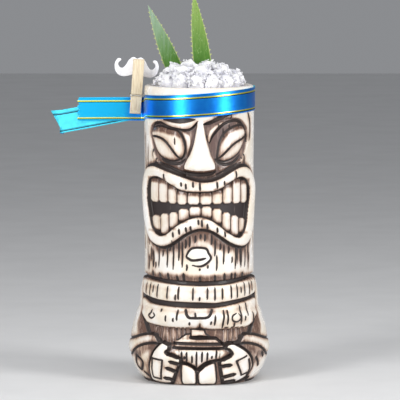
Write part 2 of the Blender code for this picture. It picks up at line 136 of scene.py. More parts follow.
def rgba(value):
    """A grey level or a colour, as an opaque colour."""
    return (value, value, value, 1) if isinstance(value, (int, float)) else (*value, 1)


CREAM, IVORY = (0.77, 0.69, 0.57), (0.86, 0.84, 0.82)  # the glaze
TAN, BROWN, DARK_BROWN = (0.62, 0.38, 0.19), (0.30, 0.14, 0.065), (0.13, 0.072, 0.052)  # rubbed wash
SHALLOW, DEEPER, DEEPEST = (0.10, 0.062, 0.06), (0.05, 0.03, 0.03), (0.02, 0.011, 0.011)  # wash in hollows
INK = (0.017, 0.008, 0.006)  # wash in carved lines


def ceramic_material():
    """Ivory glaze with a dark brown wash that stays in the carving."""
    s = Shader("ceramic_glaze", Roughness=0.22, Coat_Weight=0.15, Coat_Roughness=0.1)
    wash, halo, pool = s.attribute("wash"), s.attribute("halo"), s.attribute("pool")
    fine = s.noise(s.position((1, 1, 0.4)), 0.8, 4)
    streaks = s.noise(s.position((1, 1, 0.14)), 0.5, 5, 0.65)
    broad = s.noise(s.position((1, 1, 0.5)), 0.08, 3)
    ivory = s.ramp(broad, [(0.3, CREAM), (0.66, IVORY)])
    rubbed = s.maths("MULTIPLY", halo, s.maths("ADD", s.maths("MULTIPLY", streaks, 1.9), 0.1))
    tan = s.ramp(rubbed, [(0.06, 0), (0.3, 0.32), (0.62, 0.8), (1, 1)])
    brown = s.ramp(rubbed, [(0.15, TAN), (0.55, BROWN), (0.95, DARK_BROWN)])
    colour = s.mix(tan, ivory, brown)
    deep = s.ramp(
        s.maths("ADD", pool, s.maths("MULTIPLY", s.maths("SUBTRACT", streaks, 0.5), 0.9)),
        [(0.34, 0), (0.85, 1)],
    )
    shade = s.ramp(pool, [(0.6, SHALLOW), (0.8, DEEPER), (1, DEEPEST)])
    colour = s.mix(deep, colour, shade)
    inked = s.maths("ADD", wash, s.maths("MULTIPLY", s.maths("SUBTRACT", fine, 0.5), 0.5))
    ink = s.ramp(inked, [(0.24, 0), (0.46, 1)])
    colour = s.mix(ink, colour, INK)
    s.drive("Base Color", colour)
    glaze = s.ramp(s.noise(s.position(), 0.25, 2), [(0.3, 0.18), (0.7, 0.3)])
    s.drive("Roughness", s.mix(s.maths("MAXIMUM", ink, deep), glaze, 0.6))
    s.bump(s.noise(s.position((1, 1, 0.4)), 0.35, 3), 0.00012, 0.6)
    return s.material


# ---------------------------------------------------------------- shapes on the mug's side

TOP = 195.0
REF = 37.0  # radius at which widths round the mug are measured
STEP = 0.42  # size of the side's mesh
FRONT_SLIM = 4.6  # how much nearer the axis the front and back of the seat are than its sides


def smooth(points, closed=True, per=5):
    """Points along a Catmull-Rom curve through the given ones."""
    pts = np.array(points, float)
    count = len(pts)
    made = []
    for i in range(count if closed else count - 1):
        around = np.arange(i - 1, i + 3)
        a, b, c, d = pts[around % count if closed else np.clip(around, 0, count - 1)]
        for k in range(per):
            t = k / per
            bend = (2 * a - 5 * b + 4 * c - d) * t**2
            made.append(0.5 * (2 * b + (c - a) * t + bend + (3 * b - a - 3 * c + d) * t**3))
    if not closed:
        made.append(pts[-1])
    return np.array(made)


def step_up(low, high, value):
    """Rises smoothly from 0 at low to 1 at high."""
    t = np.clip((value - low) / (high - low), 0, 1)
    return t * t * (3 - 2 * t)


def dome(inside, crown, spread):
    """Rises from 0 at an edge to the crown, mostly within the spread."""
    return crown * (1 - np.exp(-np.clip(inside, 0, None) / spread))


def front_radius(x, z):
    """Radius of the mug where its front is seen at x, for laying outlines on it."""
    if z > 70:
        return 37.9
    if z > 38:
        return 38.8
    return 40 + 5.8 * (abs(x) / 46) ** 2


def wrap(points):
    """Outline points seen from the front, as (distance round the mug, height)."""
    made = []
    for x, z in points:
        radius = front_radius(x, z)
        made.append((REF * math.asin(max(-1, min(1, x / radius))), z))
    return made


def curve(points, closed=True, per=5):
    """A smooth outline or line round the mug, from points seen from the front."""
    return smooth(wrap(points), closed, per)


def flip(points):
    return [(-x, z) for x, z in points]


def polar(points):
    """Outline points given as (angle from the front in degrees, height)."""
    return [(math.radians(turn) * REF, z) for turn, z in points]


def profile(pairs, z):
    """A value that follows (height, value) pairs."""
    heights, values = zip(*pairs)
    return np.interp(z, heights, values)


SIDE_PROFILE = [
    (0, 35.6), (0.8, 36.6), (2.5, 38), (5, 39.6), (7.5, 41), (10, 42.2), (13, 43.2), (16, 44), (19, 44.8),
    (22, 45.4), (25, 45), (29, 44.2), (34, 43.4), (38, 42.6), (42, 41.2), (46, 40.2), (49, 38.6),
    (52, 38.2), (60, 37.8), (66, 37.0), (69.5, 36), (85, 35.9), (100, 36.1), (128, 36.4), (139, 35.9),
    (152, 36), (172, 36.2), (192, 36.2), (193.8, 35.9), (194.7, 35.2), (195, 34.3),
]


class Surface:
    """The mug's outer side: a radius for each angle and height, in millimetres."""

    def __init__(self):
        columns = int(2 * math.pi * REF / STEP / 2) * 2
        self.angle = np.linspace(-math.pi, math.pi, columns, endpoint=False)
        self.z = np.linspace(0, TOP, int(TOP / STEP))
        self.u = self.angle * REF
        side = profile(SIDE_PROFILE, self.z)[:, None]
        across = np.sin(self.angle)[None, :] ** 2
        slim = FRONT_SLIM * step_up(0, 14, self.z) * (1 - step_up(36, 46, self.z))
        self.env = side - slim[:, None] * (1 - across)
        self.radius = self.env.copy()
        self.wash = np.zeros_like(self.radius)
        self.pool = np.zeros_like(self.radius)
        self.stained = np.zeros_like(self.radius)

    def window(self, points, margin):
        points = np.array(points)
        (u0, z0), (u1, z1) = points.min(0) - margin, points.max(0) + margin
        rows = slice(*np.searchsorted(self.z, (z0, z1)))
        cols = slice(*np.searchsorted(self.u, (u0, u1)))
        u, z = np.meshgrid(self.u[cols], self.z[rows])
        return (rows, cols), u, z

    def pad(self, outline, level, edge=0.35, crown=0.0, spread=2.0, pool=0.0, lift=None):
        """Sets the inside of the outline to a level above the mug's plain side, with a domed crown."""
        window, u, z = self.window(outline, edge + 0.5)
        inside = signed_distance(u, z, outline)
        mask = step_up(-edge, edge, inside)
        target = self.env[window] + level + dome(inside, crown, spread)
        if lift is not None:
            target = target + lift(u, z, inside)
        self.radius[window] += (target - self.radius[window]) * mask
        self.pool[window] += (pool - self.pool[window]) * mask
        self.wash[window] *= 1 - mask

    def inside(self, outline, soft):
        """The outline's window, and 1 inside the outline, fading out at its edge."""
        window, u, z = self.window(outline, soft)
        return window, step_up(-soft, soft, signed_distance(u, z, outline))

    def tint(self, outline, amount, soft):
        """Brown laid on the surface: wash left in some places, painted shade in others."""
        window, mask = self.inside(outline, soft)
        self.stained[window] = np.maximum(self.stained[window], amount * mask)

    def wipe(self, outline, amount, soft):
        """Wash rubbed off the surface."""
        window, mask = self.inside(outline, soft)
        self.stained[window] -= amount * mask

    def band(self, low, high, level, edge=0.4, crown=0.0, spread=1.5, pool=0.0):
        """Sets the side between two lines, which run all the way round, to a level."""
        bottom, top = (np.interp(self.u, *zip(*sorted(wrap(line)))) for line in (low, high))
        z = self.z[:, None]
        inside = np.minimum(z - bottom, top - z)
        mask = step_up(-edge, edge, inside)
        self.radius += (self.env + level + dome(inside, crown, spread) - self.radius) * mask
        self.pool += (pool - self.pool) * mask

    def groove(self, path, width, depth, ink=1.0, taper=True):
        """Cuts a line that is widest at its middle."""
        window, u, z = self.window(path, width + 0.5)
        away, along = line_distance(u, z, path)
        half = width / 2
        if taper:
            half = half * np.clip(0.45 + 3.5 * np.minimum(along, 1 - along), 0.45, 1)
        cut = step_up(0, 1, 1.25 - away / half)
        self.radius[window] -= depth * cut
        self.wash[window] = np.maximum(self.wash[window], ink * step_up(0, 1, 1.7 - away / half))

    def strokes(self, lines, width, depth, drift, above=0.0, below=0.0):
        """Short upright grooves, each given as (x, high, low)."""
        for x, high, low in lines:
            self.groove(wrap([(x, high + above), (x + drift, low - below)]), width, depth)

    def blurred(self, field, sigma):
        """The field, softened over sigma millimetres each way."""
        reach = max(1, int(2.5 * sigma / STEP))
        weights = np.exp(-0.5 * (np.arange(-reach, reach + 1) * STEP / sigma) ** 2)
        weights /= weights.sum()
        made = sum(w * np.roll(field, k - reach, axis=1) for k, w in enumerate(weights))
        padded = np.pad(made, ((reach, reach), (0, 0)), mode="edge")
        return sum(w * padded[k : k + len(field)] for k, w in enumerate(weights))


def signed_distance(u, z, loop):
    """Distance to the closed loop, positive inside it."""
    loop = np.array(loop)
    best = np.full(u.shape, 1e9)
    inside = np.zeros(u.shape, bool)
    for (au, az), (bu, bz) in zip(loop, np.roll(loop, -1, axis=0)):
        du, dz = bu - au, bz - az
        along = np.clip(((u - au) * du + (z - az) * dz) / (du * du + dz * dz + 1e-12), 0, 1)
        best = np.minimum(best, (u - au - along * du) ** 2 + (z - az - along * dz) ** 2)
        if az != bz:
            inside ^= ((az > z) != (bz > z)) & (u < au + (z - az) * du / dz)
    return np.where(inside, 1, -1) * np.sqrt(best)


def line_distance(u, z, path):
    """Distance to the open path, and how far along it the nearest point is, from 0 to 1."""
    path = np.array(path, float)
    lengths = np.hypot(*np.diff(path, axis=0).T)
    total = lengths.sum() + 1e-12
    best = np.full(u.shape, 1e9)
    place = np.zeros(u.shape)
    passed = 0.0
    for (au, az), (bu, bz), length in zip(path, path[1:], lengths):
        du, dz = bu - au, bz - az
        along = np.clip(((u - au) * du + (z - az) * dz) / (length**2 + 1e-12), 0, 1)
        away = np.hypot(u - au - along * du, z - az - along * dz)
        nearer = away < best
        best = np.where(nearer, away, best)
        place = np.where(nearer, (passed + along * length) / total, place)
        passed += length
    return best, place


# ---------------------------------------------------------------- the face
# Outlines are (x, height) in millimetres, as seen from the front.

LIPS_OUTER = [
    (-37.4, 133), (-35.8, 141), (-31, 144), (-25, 142.6), (-14.5, 139), (-5, 136), (1.5, 134.6),
    (8.5, 135), (15, 137.4), (22, 141.3), (27.5, 143.6), (32, 143), (35.4, 139), (37.2, 131), (37, 118),
    (36.2, 101), (34, 93.5), (30, 90), (24.5, 90.8), (18.5, 94), (12.5, 98.4), (7, 101.5), (1.5, 102.5),
    (-3.5, 101.5), (-9, 99), (-14.5, 95), (-20.5, 91), (-26.5, 90.2), (-32, 93), (-34.8, 98), (-36.4, 105),
    (-37.3, 114), (-37.6, 124),
]
LIPS_INNER = [
    (-34.6, 128), (-33.4, 134), (-28.8, 136.2), (-24, 134.5), (-17, 130.5), (-10.5, 127.6), (0.5, 127),
    (10, 127.6), (16, 130), (22, 133.8), (28, 136), (31.8, 133.5), (33.8, 127), (33, 117.5), (32, 107),
    (30, 99.5), (27.5, 96.8), (24, 97.6), (18.5, 101), (12.5, 106), (7, 109.4), (1.5, 111), (-3.5, 110.6),
    (-9, 108.6), (-16, 104.4), (-21, 100), (-25, 98), (-28.8, 99), (-31.6, 103.5), (-33.4, 112),
    (-34.6, 121),
]
SOCKET_LEFT = [
    (-33.4, 168.5), (-31, 171.6), (-26.5, 172.2), (-21, 169.6), (-14.5, 168.1), (-6.5, 168.3),
    (-1.2, 173.2), (-1.9, 166), (-3.6, 158), (-6, 151.8), (-9, 147.6), (-11, 142), (-9, 138), (-13, 139.4),
    (-20, 142), (-26, 144.2), (-29, 147), (-31.5, 152), (-33, 158), (-34, 163),
]
SOCKET_RIGHT = [
    (3.4, 171.6), (7, 172.6), (12, 173.4), (17, 174.8), (21, 175.4), (27, 174.6), (31, 171.6), (33, 166),
    (33, 158), (31.6, 152), (29, 147.5), (24, 143.6), (17, 140), (12, 138), (12, 142), (10.6, 147.6),
    (8.4, 151.6), (6.2, 158), (4.3, 165),
]
CHEEK_LEFT = [
    (-28, 147), (-25, 145.4), (-19, 143.6), (-14, 141.8), (-12, 144), (-17, 145.6), (-23, 146.4),
    (-27, 148),
]
CHEEK_RIGHT = [
    (28.4, 146.6), (24, 143.6), (18, 141.2), (14.6, 140.4), (13.6, 143), (18, 144.2), (24, 145.6),
    (27.4, 147.6),
]
CHANNEL = [
    (-31, 145.5), (-24, 144.5), (-14, 140.6), (-5, 137.6), (1.5, 136.4), (9, 136.8), (16, 139.4),
    (23, 143.4), (29, 145.6),
]
EYE_LEFT = [
    (-33.2, 164.4), (-31.4, 168.4), (-26.5, 169.8), (-20, 168.2), (-15, 167.2), (-11.4, 162.5),
    (-9.8, 156.6), (-10.4, 151.6), (-12.6, 148.8), (-18.5, 147), (-25, 148.8), (-28.8, 152),
    (-31.2, 157.4),
]
# Painted shade: brown laid on the top of each eyelid, under the brow.
LID_PAINTED_SHADE_LEFT = [
    (-32.4, 166), (-29, 170.4), (-22, 168.6), (-15, 167.2), (-11, 163), (-14.6, 163.6), (-20, 164.6),
    (-27, 166),
]
LID_PAINTED_SHADE_RIGHT = [
    (9.4, 150), (8.6, 158), (11, 164), (17, 169.6), (25, 172), (31, 170), (32.6, 167.4), (29, 168),
    (24, 167), (18.4, 163.6), (14.4, 158), (12.4, 151),
]
FOLD_LEFT = [
    (-11.8, 166.6), (-7.6, 164.4), (-6, 160), (-6.8, 155), (-8.4, 150.6), (-8.7, 155), (-9.2, 160),
]
LID_LINE_LEFT = [(-32.6, 162.6), (-28.5, 162.7), (-24, 161), (-20, 157), (-16, 151.6), (-12.4, 148)]
EYE_RIGHT = [
    (13, 148.8), (13.2, 154), (14.6, 160.4), (18, 165.8), (24, 169.4), (29.6, 170), (32.2, 166),
    (31.6, 160), (30, 155.6), (27.4, 151.6), (22.4, 148.2), (17, 146.8),
]
LID_LINE_RIGHT = [(32.4, 163.6), (29.8, 161.6), (25.8, 159.6), (22, 157), (16.8, 151.8), (12.6, 148)]
BAG_LEFT = [(-26.5, 148.2), (-22.5, 146.2), (-18.4, 145.2), (-13, 146), (-10, 148.6)]
BAG_RIGHT = [(11.4, 148.6), (14.4, 145.8), (19.4, 144.8), (24.6, 146.2), (29, 150.4)]
NOSE = [
    (-0.8, 173.4), (-1.6, 169), (-2.6, 164), (-4, 158), (-6.4, 151.6), (-8.6, 148), (-10.4, 144),
    (-10.6, 141.8), (-8, 140.6), (0.6, 139.8), (9, 140.4), (11.4, 141.8), (11, 145), (9.2, 148.6),
    (7.6, 152), (5.8, 158), (4, 165), (3, 170), (2.4, 173.4),
]
# Painted shade: brown laid along the underside of the nose, round the nostrils.
NOSTRILS_PAINTED_SHADE = [
    (-10.8, 144.6), (-11, 140.8), (-6, 139.8), (0.6, 139.2), (9, 139.8), (12, 141), (11.4, 145),
    (9.8, 142.4), (5, 141), (0.6, 140.8), (-4, 141), (-8.8, 142.4),
]
# A line cut under the nose; its dark wash is also painted shadow of the nose's overhang.
UNDER_NOSE = [(-10.8, 140.8), (-6, 139.2), (0.6, 138.6), (7, 139), (11.6, 140.8)]
BROW_GROOVES = [
    [(-32.6, 168.6), (-30.6, 171), (-26.5, 172), (-21, 169.5), (-14.5, 168), (-6.5, 168), (-0.6, 173.4)],
    [(3, 171.4), (8, 172.2), (15, 175.2), (21.5, 178), (27, 180)],
    [(3.2, 171.6), (9, 173.6), (14, 176.4), (17, 179)], [(7.4, 159), (9.2, 163), (12.5, 167), (18, 171.6),
    (25.5, 173.4), (30.2, 170.6), (32.4, 165.5), (33, 159)],
    [(33.4, 178.6), (34.8, 172), (35, 166), (34.4, 159.5)],
]
SLOT = [(-25, 174.2), (-18, 175.4), (-9, 175.6), (-2.4, 174.6), (-8, 172.6), (-14, 171.9), (-20, 172.6)]
SOCKET_FOLD = [
    (7.2, 160), (8.6, 164), (12, 168.4), (17, 173), (14, 172), (10, 169.4), (7, 166), (6, 161.5),
]

UPPER_SPLITS = [-33.6, -28, -21.6, -15.4, -8.3, 0.5, 9, 16.4, 23, 28.8, 33.2]
UPPER_TIPS = [119.4, 119.6, 119.2, 118.8, 119, 118.9, 119.1, 119.2, 118.8, 118.8]
LOWER_SPLITS = [-33, -27, -21, -14.6, -7, 1.4, 9, 16, 22, 27.6, 32]
LOWER_TIPS = [110.8, 112.4, 113.6, 116, 117.5, 117.6, 116, 113.4, 111, 109]
LIP_NICKS = [
    (-23, 138.2, 135.6), (-11.6, 133.2, 131.4), (-8.6, 132.4, 129.6), (-4, 133.6, 130.8),
    (0.4, 133, 128.8), (11.5, 133.4, 130), (16.2, 134, 132), (24, 140, 136.4), (-17, 100.4, 97.8),
    (-13, 102.6, 99.8), (-8.6, 103.8, 101.6), (-5.6, 104.6, 102.6), (-0.6, 108.8, 106.4),
    (1.7, 108.8, 105), (5.2, 106, 103.6), (11.6, 103.6, 101), (16.6, 100.8, 98),
]
LID_NICKS = [
    (-27.5, 170.8, 168.2), (-16.6, 162.6, 158), (17, 168.6, 162.6), (21.4, 171, 168), (27.4, 171.4, 168.4),
    (29.4, 172.4, 169.4), (22, 177.6, 174.6), (13.4, 171.6, 168.6), (-22, 169.4, 167.6),
    (-29.4, 170.4, 167.4),
]
CHIN_STROKES = [
    (-33.2, 89.5, 80), (-31.4, 87, 76.5), (-27.8, 90.5, 76.5), (-22, 91, 77), (-17.8, 95, 76),
    (-14, 95.5, 82), (-11.6, 94, 77.5), (-8.5, 79.5, 75.5), (-6.5, 98, 91), (-2.6, 98.6, 94),
    (0.4, 77, 75.6), (6, 79, 77), (8.6, 99, 92.6), (11, 96, 85), (12.2, 85.5, 75.5), (17, 92, 79.5),
    (20.5, 91, 86.5), (25.2, 91, 76), (29.2, 88.5, 76.5), (31.8, 89.5, 76.5), (-25, 88, 84),
    (-20, 92.4, 88), (4, 99.4, 95), (14.6, 93, 89), (34.2, 86, 78), (-34.6, 84, 74), (22.8, 84, 80),
    (-30, 80, 76), (1, 99.4, 96.6), (-9.2, 96, 90),
]
CHIN_NICKS = [
    (-32, 73.4, 70.4), (-27.2, 72.4, 69), (-21.6, 72.6, 69), (-15.2, 71, 68.4), (-10.8, 73, 68.4),
    (0.5, 70.6, 68), (11, 71.6, 68.2), (17.6, 72.6, 68.6), (22.5, 72.6, 69), (25, 72.4, 69),
    (30, 72.6, 70),
]
BEARD = [
    (-20, 92), (-9, 98), (0, 101), (9, 98), (20, 91.6), (30, 88), (20, 87), (10, 93), (0, 96), (-10, 93),
    (-20, 87), (-32, 88),
]
KNOT_LOOP = [
    (-4.6, 79), (1, 78.4), (5.4, 80.4), (8.2, 83.6), (6.6, 87), (4.2, 90.2), (-4.8, 90.2), (-8.8, 85),
    (-7.6, 83),
]
CHIN_MIDDLE = [(-30, 86), (-12, 90), (0, 92), (12, 90), (30, 86), (30, 76), (-30, 76)]
KNOT_CURL = [(-8.6, 84.6), (-5.4, 82.4), (-0.6, 82.6), (4.6, 83.6)]


MOUTH_MIDDLE = 119.5
TOOTH_GAP = 0.2  # half of the space between two teeth


def box(left, right, first, last):
    """A rectangle's corners."""
    return [(left, first), (right, first), (right, last), (left, last)]


def mouth_tooth(left, right, root, tip):
    """A tooth's outline: straight sides, a rounded biting edge and a narrower root."""
    way = 1 if tip > root else -1
    width = right - left
    corner = min(1.4, width * 0.3)
    return [
        (left + 0.1 * width, root), (right - 0.1 * width, root), (right, root + way * 1.6),
        (right, tip - way * corner), (right - corner, tip), (left + corner, tip), (left, tip - way * corner),
        (left, root + way * 1.6),
    ]


def lip_edge(points, x, upper):
    """Height of the mouth's opening at x, on its upper or lower lip."""
    side = sorted(p for p in points if (p[1] > MOUTH_MIDDLE) == upper)
    return float(np.interp(x, *zip(*side)))


def carve_mouth(s):
    outer, inner = curve(LIPS_OUTER), curve(LIPS_INNER)

    def rounded(u, z, inside):
        """A lip's round section, lower towards the mug's sides."""
        hole = np.clip(-signed_distance(u, z, inner), 0.01, None)
        share = np.clip(inside, 0.01, None) / (np.clip(inside, 0.01, None) + hole)
        front = np.cos(u / REF)
        return (1.3 + 0.7 * np.clip(front, 0, 1)) * np.sin(math.pi * share) ** 0.55

    s.pad(outer, level=0.75, edge=0.3, lift=rounded)
    s.pad(inner, level=-1.9, edge=0.6, pool=1.3)
    window, u, z = s.window(inner, 4.0)
    lips = signed_distance(u, z, inner) < 0.25
    kept = s.radius[window][lips], s.pool[window][lips]
    for upper, splits, tips, level, sunk, tint, soft in (
        (True, UPPER_SPLITS, UPPER_TIPS, -0.5, -0.2, (1, -2.4, 0.6), 1.2),
        (False, LOWER_SPLITS, LOWER_TIPS, -0.6, 0.2, (-1, 0.6, 0.4), 0.8),
    ):
        for split, following, tip in zip(splits, splits[1:], tips):
            left, right = split + TOOTH_GAP, following - TOOTH_GAP
            root = lip_edge(LIPS_INNER, (left + right) / 2, upper) + sunk
            s.pad(wrap(mouth_tooth(left, right, root, tip)), level, edge=0.3, crown=0.7, spread=1.4)
            first, last, amount = tint
            s.tint(wrap(box(left, right, root + first, root + last)), amount, soft)
    s.radius[window][lips], s.pool[window][lips] = kept
    s.groove(np.vstack([outer, outer[:1]]), width=1.7, depth=0.6, ink=0.95, taper=False)
    s.groove(np.vstack([inner, inner[:1]]), width=0.7, depth=0.15, ink=0.7, taper=False)
    s.strokes(LIP_NICKS, width=1.1, depth=0.6, drift=0.3, above=0.4, below=0.4)


def carve_eyes(s):
    for socket in (SOCKET_LEFT, SOCKET_RIGHT):
        s.pad(curve(socket), level=-1.35, edge=0.45, pool=0.62)
    for cheek in (CHEEK_LEFT, CHEEK_RIGHT):
        s.pad(curve(cheek), level=-1.0, edge=0.8, crown=0.3, pool=0.15)
        s.tint(curve(cheek), amount=0.25, soft=1.0)
    s.pad(curve(SOCKET_FOLD), level=-0.2, edge=0.5, crown=0.4, pool=0.2)
    s.pad(curve(FOLD_LEFT), level=-0.4, edge=0.4, crown=0.4, pool=0.25)
    for eye, line, shade in (
        (EYE_LEFT, LID_LINE_LEFT, LID_PAINTED_SHADE_LEFT), (EYE_RIGHT, LID_LINE_RIGHT, LID_PAINTED_SHADE_RIGHT),
    ):
        s.pad(curve(eye), level=-0.9, edge=0.4, crown=1.9, spread=3.2)
        # Painted shade on the top of the lid, under the brow.
        s.tint(curve(shade), amount=0.9, soft=1.6)
        s.groove(curve(eye), width=1.15, depth=0.4, ink=0.9, taper=False)
        s.groove(curve(line, False), width=1.3, depth=0.9)
    for bag in (BAG_LEFT, BAG_RIGHT):
        s.groove(curve(bag, False), width=1.5, depth=0.5)
    for line in BROW_GROOVES:
        s.groove(curve(line, False), width=1.5, depth=0.8)
    s.pad(curve(SLOT), level=-1.6, edge=0.35, pool=1.0)
    s.strokes(LID_NICKS, width=0.8, depth=0.4, drift=0.2)


def carve_nose(s):
    def ridge(u, z, inside):
        """Stands further out towards the nose's tip."""
        down = np.clip((173 - z) / 31, 0, 1)
        return 0.3 + dome(inside, 3.6 * down**1.3, 2.2)

    s.groove(curve(CHANNEL, False), width=2.2, depth=0.7, ink=0.35)
    s.pad(curve(NOSE, per=4), level=0, edge=0.4, crown=0.8, spread=1.5, lift=ridge)
    # Painted shade on the nose's underside.
    s.tint(curve(NOSTRILS_PAINTED_SHADE), amount=1.9, soft=1.0)
    # Cut line under the nose, washed dark, and also painted shadow under the nose's overhang.
    s.groove(curve(UNDER_NOSE, False), width=2.2, depth=0.9)


def carve_chin(s):
    for x, high, low in CHIN_STROKES:
        s.groove(wrap([(x, high), (x + 0.2, (high + low) / 2), (x - 0.2, low)]), width=1.05, depth=0.6)
    s.strokes(CHIN_NICKS, width=1.5, depth=0.7, drift=0.3, above=0.6)
    s.tint(curve(BEARD), amount=0.42, soft=3.0)
    s.tint(wrap([(-37, 72), (37, 72), (37, 68), (-37, 68)]), amount=0.75, soft=2.2)
    s.groove(curve(KNOT_LOOP, False), width=1.3, depth=0.7)
    s.groove(curve(KNOT_CURL, False), width=1.4, depth=0.7)


# ---------------------------------------------------------------- the body

HEAD_BOTTOM = [(-37, 70.6), (-30, 69.8), (-20, 69), (0, 68.4), (20, 69), (30, 70), (37, 71)]
COLLAR_TOP = [
    (-36, 68.2), (-30, 67.4), (-24, 66.5), (-17, 66), (0.5, 65.4), (17, 65.8), (24, 66.4), (30, 67.4),
    (36, 68.6),
]
COLLAR_BOTTOM = [
    (-37, 57.8), (-31, 56.2), (-27, 55.6), (-20, 55.1), (0.5, 54.8), (11, 54.2), (23.5, 55.6), (33, 56.8),
    (37, 58.4),
]
CHEST_TOP = [
    (-37.6, 56), (-36, 54.5), (-33, 52.6), (-27, 52), (-17.5, 51.5), (0.5, 51), (11, 51.2), (23.5, 52.8),
    (33, 54.5), (37.5, 55.4),
]
CHEST_BOTTOM = [
    (-37.6, 48), (-35.6, 44.6), (-32.5, 40.8), (-27, 39.6), (-20.5, 38.6), (-11, 38.1), (-2, 38.4),
    (0.6, 42), (3, 38), (14, 37.5), (23.5, 37.4), (30, 38.4), (35, 41), (37.4, 45),
]
COLLAR_MIDDLE = [
    (-33, 63), (-20, 62), (0, 61), (20, 62), (33, 63), (33, 60), (20, 58.6), (0, 58), (-20, 58.6),
    (-33, 60),
]
CHEST_MIDDLE = [
    (-32, 49), (-20, 47.5), (0, 47.5), (20, 48), (32, 50), (30, 44), (18, 41), (-18, 42), (-30, 44),
]
COLLAR_STROKES = [
    (-32.6, 66, 57), (-30.4, 65, 60), (-27.6, 65.6, 57), (-21, 65, 56.4), (-15.6, 59.6, 56),
    (-13.6, 65, 56.4), (-4, 64.4, 56.4), (5.6, 64.4, 57), (10.6, 64.6, 56), (15.5, 64, 56.6),
    (21.5, 65.4, 57), (25.4, 65.6, 57), (30.4, 66.4, 58), (33.6, 66.6, 58), (-35, 66, 58), (0.4, 58.5, 56),
    (28, 64, 60), (35.4, 67, 60),
]
CHEST_STROKES = [
    (-20.6, 46, 42), (-16, 44.6, 42), (-13.6, 50, 43), (10, 46.6, 40), (15.6, 49.6, 37.8), (18, 49.6, 40),
    (26.2, 52.4, 39.8), (30.4, 53.6, 45), (7.6, 42.6, 40.4), (-24, 50, 48), (22, 41, 38.6), (-6, 42, 40),
    (33.4, 47, 41.4), (-30, 49, 45.6), (28.6, 45, 42),
]
SHIELD = [
    (-8.6, 49.8), (-7.6, 46.8), (-6, 45.2), (-3.6, 45), (0.5, 45), (4.5, 45.2), (6.6, 46.6), (8.2, 50),
]
SHIELD_PRONG = [(-2.6, 48.4), (-2, 45.2)]
CHEST_RINGS = [
    [(-29.4, 47.4), (-31, 45.4), (-29.4, 43.4), (-27.4, 45.2), (-28.6, 47)],
    [(23.4, 47.2), (20.6, 45.6), (20.8, 42.6), (23.6, 41.6), (25.8, 44), (24.6, 46.8)],
]

BELLY = [
    (-37.4, 42), (-35, 41), (-32.5, 40), (-20, 38), (-2, 37.8), (0.6, 41), (3, 37.6), (24, 37), (31, 38.2),
    (36.4, 43.4), (36, 37), (34.5, 31), (30, 27.5), (26, 25.6), (20, 27.6), (17, 27.4), (13.6, 23.8),
    (13.6, 17.2), (9, 16.2), (0, 10), (-9, 14.8), (-13, 16.4), (-13.6, 24), (-20, 27.6), (-26, 26),
    (-30, 28.4), (-35, 33.4), (-37.4, 36.4),
]
PILLARS = [
    (-31.4, -29.4), (-27.8, -26.6), (-25, -23.8), (-22.6, -20), (-18.6, -15.8), (-14.2, -12.6),
    (-11.4, -10), (-8.8, -6.6), (16.4, 18.6), (20.4, 22.2), (24.4, 26.8), (28.4, 30),
]
STEP_LEFT = [(-14.6, 30), (-9, 34), (-5.8, 34.4), (-5.4, 31.4), (-2, 30.6), (-6, 29.6)]
NAVEL_PLATE = [(-5, 37.4), (3.4, 37), (4.6, 34.2), (8, 32), (1, 33), (-5.2, 32.4)]
WAIST = [
    (-16, 29.8), (-5.6, 30.6), (0, 31), (11, 30.8), (15, 27.6), (16.6, 26.6), (16.6, 24.6), (-16, 24.6),
]
WAIST_LINES = [
    [(-16.4, 28.2), (-6, 28), (4, 27.8), (15, 27.6), (17.6, 26)],
    [(-16.4, 25.2), (-6, 25), (6, 24.8), (15.6, 24.8)],
    [(-5.6, 32), (-2, 31.4), (5, 31.6), (11.4, 31.4), (14.6, 28.8), (17.4, 26)],
]
SKIRT = [
    (-13, 24), (13.4, 24), (13.4, 17.2), (10.6, 16.6), (6.6, 15.8), (2.6, 13), (-0.8, 10.6), (-4, 12.8),
    (-8, 15.2), (-13, 16),
]
SKIRT_STROKES = [
    (-11.2, 22.6, 16.6), (-8, 22.4, 15.8), (-1.6, 22.6, 12.4), (2, 22.6, 15.6), (5.4, 22.2, 16.8),
    (11.2, 23.6, 18), (-4.6, 20, 15), (8.4, 20, 18), (-9.6, 19.6, 17.6),
]
HEM = [
    [(-12.4, 15.6), (-8, 14.8), (-4, 12.8), (-1.6, 10.8)],
    [(-0.8, 11), (3.6, 14.8), (7.4, 16.2), (13, 17)],
]
LEG_LEFT = [
    (-11.8, 14), (-8, 14), (-4.4, 12.2), (-2.2, 9.6), (-1.7, 5), (-2.4, 1.2), (-6, 0.6), (-11.4, 0.9),
    (-12, 7),
]
LEG_RIGHT = [
    (-0.6, 8.6), (1.6, 11), (4.4, 13.4), (8, 15), (10.6, 14.6), (11.6, 8), (11.4, 1), (5, 0.6), (0.4, 1),
    (-0.8, 4.6),
]

